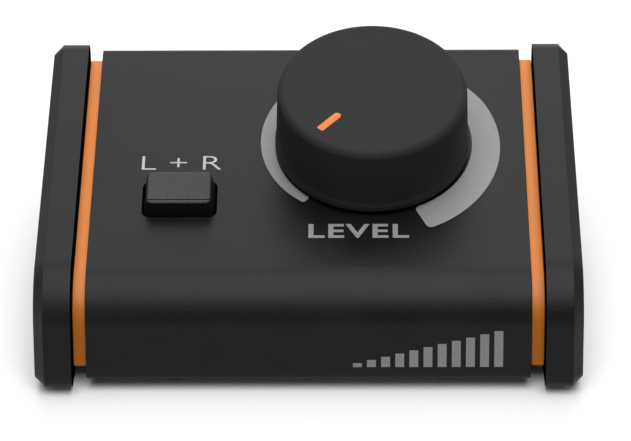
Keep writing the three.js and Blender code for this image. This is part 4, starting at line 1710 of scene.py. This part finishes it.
@dataclass
class Knob:
    """Level knob: a hollow cup with a foot ring, a rounded top edge and an inlaid pointer."""

    case: CaseShape
    foot_gap: float = 0.0012
    top: float = 0.0161
    foot_radius: float = 0.0192
    foot_ring: float = 0.0011
    step: float = 0.00025
    step_rise: float = 0.001
    top_radius: float = 0.0185
    edge_radius: float = 0.0014
    wall: float = 0.0024
    roof: float = 0.0026
    hub_radius: float = 0.006
    hub_bottom: float = 0.0057
    hub_bore: float = 0.0046
    pointer_inner: float = 0.0095
    pointer_outer: float = 0.01525
    pointer_width: float = 0.0015
    pointer_depth: float = 0.0007
    pointer_fit: float = 0.00005
    pointer_clock: float = -138.0
    pointer_steps: int = 16
    fine: float = 0.0002
    curved: float = 28

    def build(self, shop: PaintShop) -> None:
        """Turns the cap, lets in the pointer and lays both on the panel.

        Args:
            shop: where the finishes come from.
        """
        place = self.case.on_panel(self.case.panel_place.x)
        cap = self.cap().cut(self.bar("pointer slot", self.pointer_fit, PAST)).smooth(self.curved)
        shop.dress(cap.place(place), Slot.SOFT_TOUCH, Body.KNOB, "knob_cap")
        pointer = self.bar("pointer_inlay", 0, 0).soften(self.pointer_fit).smooth()
        shop.dress(pointer.place(place), Slot.POINTER_ORANGE, Body.KNOB, "knob_pointer")

    def cap(self) -> Workpiece:
        """Turns the cup with its hub.

        Returns:
            The cap, before the pointer's slot is cut.
        """
        roof = self.top - self.roof
        ring_top = self.foot_gap + self.foot_ring
        corners = [
            (0, roof),
            (self.hub_bore, roof),
            (self.hub_bore, self.hub_bottom),
            (self.hub_radius, self.hub_bottom),
            (self.hub_radius, roof, self.fine),
            (self.top_radius - self.wall, roof, self.edge_radius),
            (self.foot_radius - self.wall, self.foot_gap, self.fine),
            (self.foot_radius, self.foot_gap, self.fine),
            (self.foot_radius, ring_top, self.fine),
            (self.foot_radius - self.step, ring_top + self.step_rise, self.fine),
            (self.top_radius, self.top, self.edge_radius),
            (0, self.top),
        ]
        return Workpiece.turned("level_knob", rounded(corners, segments=10), Facets.FINEST)

    def bar(self, name: str, grow: float, rise: float) -> Workpiece:
        """The pointer's bar, round at its inner end and square at its outer end.

        Args:
            name: name of the piece.
            grow: how far its outline is grown.
            rise: how far it stands above the knob's top.

        Returns:
            The bar, in the knob's own frame.
        """
        half = self.pointer_width / 2 + grow
        inner = self.pointer_inner + self.pointer_width / 2
        outer = self.pointer_outer + grow
        corners = [(inner, -half), (outer, -half, self.fine), (outer, half, self.fine), (inner, half)]
        outline = rounded(corners, segments=4)
        for step in range(1, self.pointer_steps):
            angle = math.pi / 2 + math.pi * step / self.pointer_steps
            outline.append((inner + half * math.cos(angle), half * math.sin(angle)))
        bar = Workpiece.drawn(name, outline, self.pointer_depth + rise + grow)
        seat = Matrix.Translation((0, 0, self.top - self.pointer_depth - grow))
        return bar.place(rotation("Z", RIGHT_ANGLE - self.pointer_clock) @ seat)


@dataclass
class Button:
    """Latching push button with drafted sides, a groove across its top and a hollow underside."""

    case: CaseShape
    base: Pair = (0.0138, 0.0087)
    top: Pair = (0.0124, 0.0085)
    height: float = 0.0035
    skirt: float = 0.0015
    corner: float = 0.0011
    edge: float = 0.0004
    lip: float = 0.00085
    groove_half: float = 0.00012
    groove_depth: float = 0.0002
    wall: float = 0.0012
    roof: float = 0.0023
    plunger_width: float = 0.0034
    plunger_seat: float = 0.0018
    curved: float = 30

    def build(self, shop: PaintShop) -> None:
        """Moulds the cap and lays it in its window.

        Args:
            shop: where the finishes come from.
        """
        cap = self.cap().place(self.case.on_panel(*self.case.button_place))
        shop.dress(cap, Slot.GRAINED_PLASTIC, Body.BUTTON, "button_cap")
        # The drafted side walls take the darker, less glossy cheek plastic: painted shade that keeps
        # them dark
        shaded_walls = faces_beside(self.case.normal(Side.TOP))
        cap.coat(shaded_walls, shop.mix(FINISHES[Slot.CHEEK_PLASTIC]))

    def cap(self) -> Workpiece:
        """Moulds the cap.

        Returns:
            The cap with its skirt, drafted sides, groove and hollow.
        """
        cap = Workpiece.pillar("mono_button", *self.base, -self.skirt, 0)
        with cap.editing():
            cap.pick_faces(faces_along(UP))
            draft = (self.top[0] / self.base[0], self.top[1] / self.base[1], 1)
            bpy.ops.mesh.extrude_region_move(TRANSFORM_OT_translate={"value": (0, 0, self.height)})
            bpy.ops.transform.resize(value=draft, center_override=(0, 0, self.height))
        cap.round_edges(edges_up(CLIMBING), self.corner, segments=8)
        cap.round_edges(rim_of(UP), self.edge, segments=4)
        ceiling = self.height - self.roof
        room = [size - 2 * self.wall for size in self.top]
        plunger = [self.plunger_width] * 2
        cap.cut(
            self.groove(),
            Workpiece.pillar("room", *room, -self.skirt - PAST, ceiling),
            Workpiece.pillar("plunger hole", *plunger, 0, ceiling + self.plunger_seat),
        )
        return cap.smooth(self.curved)

    def groove(self) -> Workpiece:
        """Makes the cutter for the fine groove across the top.

        Returns:
            A thin block behind the cap's front lip.
        """
        back = self.lip - self.top[1] / 2
        low = Vector((-self.base[0], back - self.groove_half, self.height - self.groove_depth))
        high = Vector((self.base[0], back + self.groove_half, self.height + PAST))
        return Workpiece.block("groove", low, high)


@dataclass
class ReturnSpring:
    """Spring round the plunger, wound from one wire, that the button presses together."""

    case: CaseShape
    radius: float = 0.00265
    wire: float = 0.0004
    turns: int = 5
    seat: float = -0.0039
    free_length: float = 0.005
    pressed_length: float = 0.003
    wire_sides: int = 10
    steps_per_turn: int = 32

    def build(self, shop: PaintShop) -> None:
        """Winds the spring and stands it on the switch.

        Args:
            shop: where the finishes come from.
        """
        place = self.case.on_panel(*self.case.button_place, self.seat)
        spring = self.wound().place(place)
        shop.dress(spring, Slot.NICKEL, Body.CASE, "switch_spring")
        up = self.case.normal(Side.TOP)
        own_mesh(spring.item)

    def wound(self) -> Workpiece:
        """Winds one wire in a helix.

        Returns:
            The spring, standing on the origin.
        """
        clear_selection()
        bpy.ops.mesh.primitive_circle_add(
            vertices=self.wire_sides,
            radius=self.wire / 2,
            location=(self.radius, 0, self.wire / 2),
            rotation=(math.pi / 2, 0, 0),
        )
        spring = Workpiece(bpy.context.active_object, "return_spring").settle()
        steps = self.turns * self.steps_per_turn
        spring.add_modifier(
            "SCREW",
            angle=self.turns * math.tau,
            screw_offset=self.free_length - self.wire,
            steps=steps,
            render_steps=steps,
        )
        with spring.editing(Pick.POINT, whole=True):
            bpy.ops.mesh.fill_holes(sides=0)
            spring.close_up()
        return spring.smooth()


# The rear panel


@dataclass(frozen=True)
class SocketSize:
    """Body, nose and bore of one kind of socket."""

    width: float
    length: float
    height: float
    nose_radius: float
    nose_reach: float
    bore_radius: float


@dataclass
class Sockets:
    """Four large jack sockets and a small one, with their nuts."""

    case: CaseShape
    pitch: float = 0.017
    inner_offset: float = 0.013
    board_top: float = 0.0057
    large: SocketSize = SocketSize(
        width=0.0156,
        length=0.021,
        height=0.0116,
        nose_radius=0.0055,
        nose_reach=0.003,
        bore_radius=0.0033,
    )
    mini: SocketSize = SocketSize(
        width=0.0086,
        length=0.0125,
        height=0.007,
        nose_radius=0.00295,
        nose_reach=0.0026,
        bore_radius=0.0018,
    )
    hole_fit: float = 0.0002
    thread_pitch: float = 0.0006
    thread_fit: float = 0.0001
    lip: float = 0.0004
    nut_across_flats: float = 0.014
    nut_low: float = 0.0001
    nut_high: float = 0.0022
    nut_chamfer: float = 0.0004
    chamber: Pair = (0.01, 0.0088)
    chamber_front: float = 0.004
    chamber_back: float = 0.0016
    mini_nut_radius: float = 0.004
    mini_nut_high: float = 0.0016
    mini_nut_slot: float = 0.001
    edge: float = 0.00025

    def build(self, shop: PaintShop) -> None:
        """Makes one large socket and its nut, sets four of each, then the small ones.

        Args:
            shop: where the finishes come from.
        """
        housing, nut = self.housing(), self.nut()
        for pattern, ending, made, slot in (
            (housing, "jack_housing", "moulded", Slot.SOCKET_PLASTIC),
            (nut, "jack_nut", "milled", Slot.NICKEL),
        ):
            places = {f"{name}_{ending}": self.frame(x, self.large) for name, x in self.row().items()}
            shop.dress_copies(pattern, made, slot, places)
        for piece, slot, node in (
            (self.mini_housing(), Slot.SOCKET_PLASTIC, "mini_jack_housing"),
            (self.mini_nut(), Slot.NICKEL, "mini_jack_nut"),
        ):
            shop.dress(piece.place(self.frame(0, self.mini)), slot, Body.CASE, node)

    def row(self) -> dict[str, float]:
        """Where each large socket stands across the panel."""
        near, far = self.inner_offset, self.inner_offset + self.pitch
        return {"output_left": -far, "output_right": -near, "input_left": near, "input_right": far}

    def axis(self, across: float, size: SocketSize) -> Vector:
        """Where a socket's axis meets the rear panel."""
        return self.case.at(across, self.case.rear_face, self.board_top + size.height / 2)

    def frame(self, across: float, size: SocketSize) -> Matrix:
        """Frame at a socket's axis on the rear panel with its z out of the mouth."""
        return Matrix.Translation(self.axis(across, size)) @ rotation("X", -RIGHT_ANGLE)

    def drills(self) -> list[Workpiece]:
        """Makes a rod for each socket's hole in the rear panel.

        Returns:
            The rods.
        """
        drills = []
        for across, size in (*((x, self.large) for x in self.row().values()), (0, self.mini)):
            axis, radius = self.axis(across, size), size.nose_radius + self.hole_fit
            drills.append(Workpiece.rod("socket hole", axis - PAST * BACK, axis + PAST * BACK, radius))
        return drills

    def threaded_nose(self, size: SocketSize) -> Workpiece:
        """Turns a round nose with a thread and a rounded lip.

        Args:
            size: the kind of socket.

        Returns:
            The nose, from inside the body outwards.
        """
        radius, pitch = size.nose_radius, self.thread_pitch
        start, end = self.case.sheet / 2, size.nose_reach - self.lip
        inside = -self.case.sheet - PAST
        corners = [(0, inside), (radius, inside), (radius, start)]
        for turn in range(int((end - start) / pitch)):
            low = start + turn * pitch
            corners += [(radius - pitch / 2, low + pitch / 2), (radius, low + pitch)]
        lip = (radius - self.lip, size.nose_reach, self.lip / 2)
        corners += [(radius, end), lip, (0, size.nose_reach)]
        return Workpiece.turned("nose", rounded(corners, segments=4))

    def shell(self, name: str, size: SocketSize) -> Workpiece:
        """Moulds a socket's body with its nose, its bore and its mouth.

        Args:
            name: name of the piece.
            size: the kind of socket.

        Returns:
            The body on its own axis.
        """
        top = -self.case.sheet
        piece = Workpiece.pillar(name, size.width, size.height, top - size.length, top)
        piece.soften(self.edge, segments=3).combine("UNION", self.threaded_nose(size))
        low, high = top - size.length - PAST, size.nose_reach + PAST
        bore, lip = size.bore_radius, self.lip
        mouth = [
            (0, size.nose_reach - lip),
            (bore, size.nose_reach - lip),
            (bore + 2 * lip, size.nose_reach + lip),
            (0, size.nose_reach + lip),
        ]
        piece.cut(Workpiece.rod("bore", low * UP, high * UP, bore))
        return piece.cut(Workpiece.turned("mouth", mouth, Facets.FINE))

    def housing(self) -> Workpiece:
        """The large socket's body with a chamber for its springs.

        Returns:
            The body on its own axis.
        """
        back = -self.case.sheet - self.large.length + self.chamber_back
        front = -self.case.sheet - self.chamber_front
        chamber = Workpiece.pillar("chamber", *self.chamber, back, front)
        return self.shell("housing", self.large).cut(chamber).smooth()

    def mini_housing(self) -> Workpiece:
        """The small socket's body."""
        return self.shell("mini_jack_housing_moulded", self.mini).smooth()

    def nut(self) -> Workpiece:
        """The hexagon nut with its corners chamfered on both faces.

        Returns:
            The nut on its own axis.
        """
        low, high, chamfer = self.nut_low, self.nut_high, self.nut_chamfer
        flat = self.nut_across_flats / 2
        corner = hexagon_radius(flat)
        sides = [(corner, low + chamfer), (corner, high - chamfer)]
        lens = Workpiece.turned("lens", [(0, low), (flat, low), *sides, (flat, high), (0, high)])
        nut = Workpiece.rod("nut", low * UP, high * UP, corner, Facets.HEXAGON)
        bore = self.large.nose_radius + self.thread_fit
        drill = Workpiece.rod("bore", (low - PAST) * UP, (high + PAST) * UP, bore, Facets.FINER)
        nut.combine("INTERSECT", lens).cut(drill)
        return nut.soften(self.edge / 4, angle=SHARP_BY_HOLES).smooth()

    def mini_nut(self) -> Workpiece:
        """The small socket's ring nut with two spanner slots.

        Returns:
            The nut on its own axis.
        """
        low, high, outer = self.nut_low, self.mini_nut_high, self.mini_nut_radius
        bore = self.mini.nose_radius + self.thread_fit
        corners = [
            (bore, low),
            (outer, low, self.edge),
            (outer, high, self.edge),
            (bore, high, self.edge / 2),
            (bore, low),
        ]
        nut = Workpiece.turned("mini_jack_nut_turned", rounded(corners, segments=3))
        width, length = self.mini_nut_slot, 2 * (outer + PAST)
        slot = Workpiece.pillar("slot", length, width, high - width / 2, high + PAST)
        return nut.cut(slot).soften(self.edge / 4, angle=SHARP_BY_HOLES).smooth()


# The printing


@dataclass(frozen=True)
class Legend:
    """A word and the box that it fills, with its strokes and spacing as shares of the usual."""

    name: str
    text: str
    left: float
    low: float
    right: float
    high: float
    weight: float
    spacing: float = 1.0
    curve_steps: int = 6

    def build(self, thickness: float) -> Workpiece:
        """Sets the word.

        Args:
            thickness: thickness of the ink.

        Returns:
            The word as a thin mesh that fills its box.
        """
        clear_selection()
        bpy.ops.object.text_add()
        item = bpy.context.active_object
        item.data.body = self.text
        item.data.size = 1
        item.data.offset = self.weight
        item.data.space_character = self.spacing
        item.data.extrude = thickness / 2
        item.data.resolution_u = self.curve_steps
        word = Workpiece.from_flat(item, self.name, thickness)
        corners = [Vector(corner) for corner in word.item.bound_box]
        (left, right), (low, high) = (
            (min(corner[axis] for corner in corners), max(corner[axis] for corner in corners))
            for axis in range(2)
        )
        width, height = self.right - self.left, self.high - self.low
        scale = Matrix.Diagonal((width / (right - left), height / (high - low), 1, 1))
        seat = Matrix.Translation((self.left, self.low, 0))
        return word.place(seat @ scale @ Matrix.Translation((-left, -low, 0)))


@dataclass(frozen=True)
class RingEdge:
    """Radius of one edge of the level ring at its start, its widest place and its end."""

    start: float
    peak: float
    end: float


@dataclass
class Prints:
    """Screen-printed level ring, plain legends and a row of rising bars."""

    case: CaseShape
    ink: float = 0.00003
    ring_start: float = -139.0
    ring_peak: float = 60.0
    ring_end: float = 154.3
    ring_outer: RingEdge = RingEdge(start=0.0205, peak=0.0256, end=0.025)
    ring_inner: RingEdge = RingEdge(start=0.0187, peak=0.0204, end=0.0187)
    ring_corners: Pair = (0.0005, 0.0011)
    ring_growth: float = 0.85
    ring_step: float = 2.5
    ring_corner_steps: int = 3
    level: Legend = Legend(
        "level_legend",
        "LEVEL",
        left=-0.00005,
        low=-0.02495,
        right=0.0194,
        high=-0.02125,
        weight=0.022,
        spacing=1.12,
    )
    mono: Legend = Legend(
        "sum_legend", "L + R", left=-0.0331, low=-0.0064, right=-0.0174, high=-0.0027, weight=-0.012
    )
    rear_low: float = 0.0212
    rear_high: float = 0.0232
    rear_letter_pitch: float = 0.0019
    rear_weight: float = 0.01
    bar_count: int = 11
    bar_left: float = 0.0085
    bar_pitch: float = 0.0027
    bar_width: float = 0.0017
    bar_low: float = 0.0028
    bar_shortest: float = 0.0008
    bar_tallest: float = 0.0072

    def build(self, shop: PaintShop) -> None:
        """Prints every mark on the panel, the front and the rear, half sunk in the coat.

        Args:
            shop: where the finishes come from.
        """
        sunk = -self.ink / 2
        panel, rear = self.case.on_panel(out=sunk), self.case.on_rear(sunk)
        knob = self.case.on_panel(self.case.panel_place.x, 0, sunk)
        self.lay(shop, self.ring(), knob, RING_INK)
        self.lay(shop, self.level.build(self.ink), panel, LEGEND_INK)
        self.lay(shop, self.mono.build(self.ink), panel, LETTER_INK)
        self.lay(shop, self.bars(), self.case.on_front(sunk), LEGEND_INK)
        for legend in self.rear_legends():
            self.lay(shop, legend.build(self.ink), rear, LETTER_INK)

    def lay(self, shop: PaintShop, mark: Workpiece, place: Matrix, ink: InkFinish) -> None:
        """Puts a printed mark in its place on the case."""
        shop.dress(mark.place(place), Slot.POWDER_COAT, Body.CASE, ink=ink)

    def rear_legends(self) -> Iterator[Legend]:
        """Sets out the sockets' legends, seen from behind.

        Returns:
            Each socket's legend in turn.
        """
        row = {**Sockets(self.case).row(), "mini_input": 0.0}
        for (name, across), text in zip(row.items(), ("OUT L", "OUT R", "IN L", "IN R", "IN")):
            half = self.rear_letter_pitch * len(text) / 2
            yield Legend(
                f"{name}_legend",
                text,
                left=-across - half,
                low=self.rear_low,
                right=-across + half,
                high=self.rear_high,
                weight=self.rear_weight,
            )

    def ring(self) -> Workpiece:
        """Draws the band round the knob.

        Returns:
            A band that widens clockwise, with rounded ends.
        """
        span = self.ring_end - self.ring_start
        count = int(span / self.ring_step)
        steps = [0, *range(self.ring_corner_steps, count - self.ring_corner_steps + 1), count]
        corners = dict(zip((0, count), self.ring_corners))
        outline = []
        for edge, order in ((self.ring_outer, steps), (self.ring_inner, steps[::-1])):
            for step in order:
                clock = self.ring_start + span * step / count
                outline.append((*self.on_clock(clock, edge), corners.get(step, 0)))
        return Workpiece.drawn("level_ring", rounded(outline), self.ink)

    def on_clock(self, clock: float, edge: RingEdge) -> Pair:
        """A point of the ring's edge, across and up the slope from the knob's axis."""
        radius, turn = self.radius_at(clock, edge), math.radians(clock)
        return radius * math.sin(turn), radius * math.cos(turn)

    def radius_at(self, clock: float, edge: RingEdge) -> float:
        """Radius of the ring's edge, which grows to its peak and shrinks to its end.

        Args:
            clock: angle from twelve o'clock.
            edge: the inner or the outer edge.

        Returns:
            The radius there.
        """
        if clock < self.ring_peak:
            passed = (clock - self.ring_start) / (self.ring_peak - self.ring_start)
            return edge.start + (edge.peak - edge.start) * passed ** self.ring_growth
        passed = (clock - self.ring_peak) / (self.ring_end - self.ring_peak)
        return edge.peak + (edge.end - edge.peak) * passed

    def bars(self) -> Workpiece:
        """A row of bars that rise to the right, joined as one print.

        Returns:
            The row as one piece.
        """
        marks = []
        for index in range(self.bar_count):
            grown = index / (self.bar_count - 1)
            height = self.bar_shortest + (self.bar_tallest - self.bar_shortest) * grown
            low = Vector((self.bar_left + index * self.bar_pitch, self.bar_low, 0))
            high = low + Vector((self.bar_width, height, self.ink))
            marks.append(Workpiece.block(f"bar_{index}", low, high))
        clear_selection()
        for mark in marks:
            mark.item.select_set(True)
        bpy.context.view_layer.objects.active = marks[0].item
        bpy.ops.object.join()
        row = Workpiece(bpy.context.active_object, "level_bars")
        return row.soften(self.ink / 3, segments=1)


# The CAD nodes that keep their shape, by a word in their names

KEPT_NODES = {
    "pot_housing": Slot.ZINC_SHEET,
    "pot_bushing": Slot.BRASS,
    "knob_insert": Slot.BRASS,
    "pot_shaft": Slot.NICKEL,
    "pot_washer": Slot.NICKEL,
    "pot_nut": Slot.NICKEL,
    "_contact": Slot.NICKEL,
    "board_post": Slot.NICKEL,
    "switch_plunger": Slot.PALE_NYLON,
    "switch_housing": Slot.SOCKET_PLASTIC,
    "ribbon_header": Slot.SOCKET_PLASTIC,
    "control_board": Slot.BOARD_GREEN,
    "jack_board": Slot.BOARD_GREEN,
    "link_ribbon": Slot.RIBBON_GREY,
}


def dress_kept_nodes(nodes: dict[str, bpy.types.Object], shop: PaintShop) -> None:
    """Gives every CAD node that still shows its finish.

    Args:
        nodes: the frame's nodes by name.
        shop: where the finishes come from.
    """
    for name, node in nodes.items():
        if node.hide_render:
            continue
        slot = next(slot for word, slot in KEPT_NODES.items() if word in name)
        node.data.materials.clear()
        node.data.materials.append(shop.mix(FINISHES[slot]))
        LOG.info("%s keeps its shape, in %s", name, slot.value)


# The studio


@dataclass(frozen=True)
class Softbox:
    """A broad soft light: its strength, its width and its lean to the front, in degrees."""

    name: str
    strength: float
    spread: float
    lean: float


@dataclass
class Studio:
    """Pale floor, soft light and the camera at the photograph's angle."""

    camera_place: Triple = (0.008474, -0.523748, 0.316523)
    camera_aim: Triple = (0.001126, 0.0, 0.018154)
    camera_roll: float = -0.520
    focal_length: float = 172.876
    sensor_width: float = 36.0
    floor_size: float = 12.0
    floor_seen: float = 0.93
    floor_cast: float = 0.12
    floor_roughness: float = 0.9
    lamps: tuple[Softbox, ...] = (
        Softbox("back softbox", strength=0.5, spread=32.0, lean=-56.0),
        Softbox("rear softbox", strength=0.75, spread=38.0, lean=-26.0),
        Softbox("front softbox", strength=2.15, spread=52.0, lean=21.0),
    )
    lamp_side_turn: float = 1.5
    sky_strength: float = 0.35
    sky_front: float = 0.8
    sky_back: float = 1.2
    sky_top: float = 0.8

    def build(self) -> None:
        """Sets up floor, light and camera."""
        self.add_floor()
        for lamp in self.lamps:
            self.add_lamp(lamp)
        self.add_sky()
        self.add_camera()
        bpy.context.scene.view_settings.view_transform = "Standard"

    def add_floor(self) -> None:
        """A wide floor that looks white and throws little light back on the object."""
        clear_selection()
        bpy.ops.mesh.primitive_plane_add(size=self.floor_size)
        floor = bpy.context.active_object
        floor.name = "studio_floor"
        shader = Shader("studio floor")
        path = shader.add("LightPath").outputs
        seen = shader.math("MAXIMUM", path["Is Camera Ray"], path["Is Glossy Ray"])
        seen = shader.math("MAXIMUM", seen, path["Is Transmission Ray"])
        colour = shader.mix(seen, grey(self.floor_cast), grey(self.floor_seen))
        shader.dress(Base_Color=colour, Roughness=self.floor_roughness, Specular_IOR_Level=0.0)
        floor.data.materials.append(shader.material)

    def add_lamp(self, softbox: Softbox) -> None:
        """Adds one broad soft light, turned a little from the object's right.

        Args:
            softbox: its strength, width and lean.
        """
        light = bpy.data.lights.new(softbox.name, "SUN")
        light.energy = softbox.strength
        light.angle = math.radians(softbox.spread)
        lamp = bpy.data.objects.new(softbox.name, light)
        lamp.rotation_euler = (math.radians(softbox.lean), math.radians(self.lamp_side_turn), 0)
        bpy.context.scene.collection.objects.link(lamp)

    def add_sky(self) -> None:
        """Pale surroundings whose light changes evenly from front to back and upwards."""
        world = bpy.data.worlds.new("pale surroundings")
        bpy.context.scene.world = world
        world.use_nodes = True
        tree = world.node_tree
        ground = tree.nodes["Background"]
        ground.inputs["Strength"].default_value = self.sky_strength
        level = (self.sky_front + self.sky_back) / 2
        place = tree.nodes.new("ShaderNodeTexCoord")
        rise = tree.nodes.new("ShaderNodeVectorMath")
        rise.operation = "DOT_PRODUCT"
        rise.inputs[1].default_value = (0, (self.sky_back - self.sky_front) / 2, self.sky_top - level)
        total = tree.nodes.new("ShaderNodeMath")
        total.inputs[1].default_value = level
        tree.links.new(place.outputs["Generated"], rise.inputs[0])
        tree.links.new(rise.outputs["Value"], total.inputs[0])
        tree.links.new(total.outputs["Value"], ground.inputs["Color"])

    def add_camera(self) -> None:
        """A long lens that looks down on the object as the photograph does."""
        camera = bpy.data.cameras.new("camera")
        camera.lens = self.focal_length
        camera.sensor_width = self.sensor_width
        item = bpy.data.objects.new("camera", camera)
        aim = Vector(self.camera_aim) - Vector(self.camera_place)
        turn = facing(aim, "-Z") @ rotation("Z", self.camera_roll)
        item.matrix_world = Matrix.Translation(self.camera_place) @ turn
        bpy.context.scene.collection.objects.link(item)
        bpy.context.scene.camera = item


def main() -> None:
    """Builds the object's looks piece by piece round the frame."""
    logging.basicConfig(level=logging.INFO, format="%(message)s")
    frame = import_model()
    knob_joint = next(joint for joint in frame["joints"] if joint["name"] == Joint.KNOB_TURN.value)
    case = CaseShape(Vector(knob_joint["pos_m"]))
    shop = PaintShop()
    for assembly in (
        TopShell(case),
        Chassis(case),
        Ends(case),
        Feet(case),
        CaseScrews(case),
        CheekScrews(case),
        BoardScrews(case),
        Knob(case),
        Button(case),
        ReturnSpring(case),
        Sockets(case),
        Prints(case),
    ):
        assembly.build(shop)
    dress_kept_nodes(frame["nodes"], shop)
    Studio().build()
    bpy.context.view_layer.update()


if __name__ == "__main__":
    main()
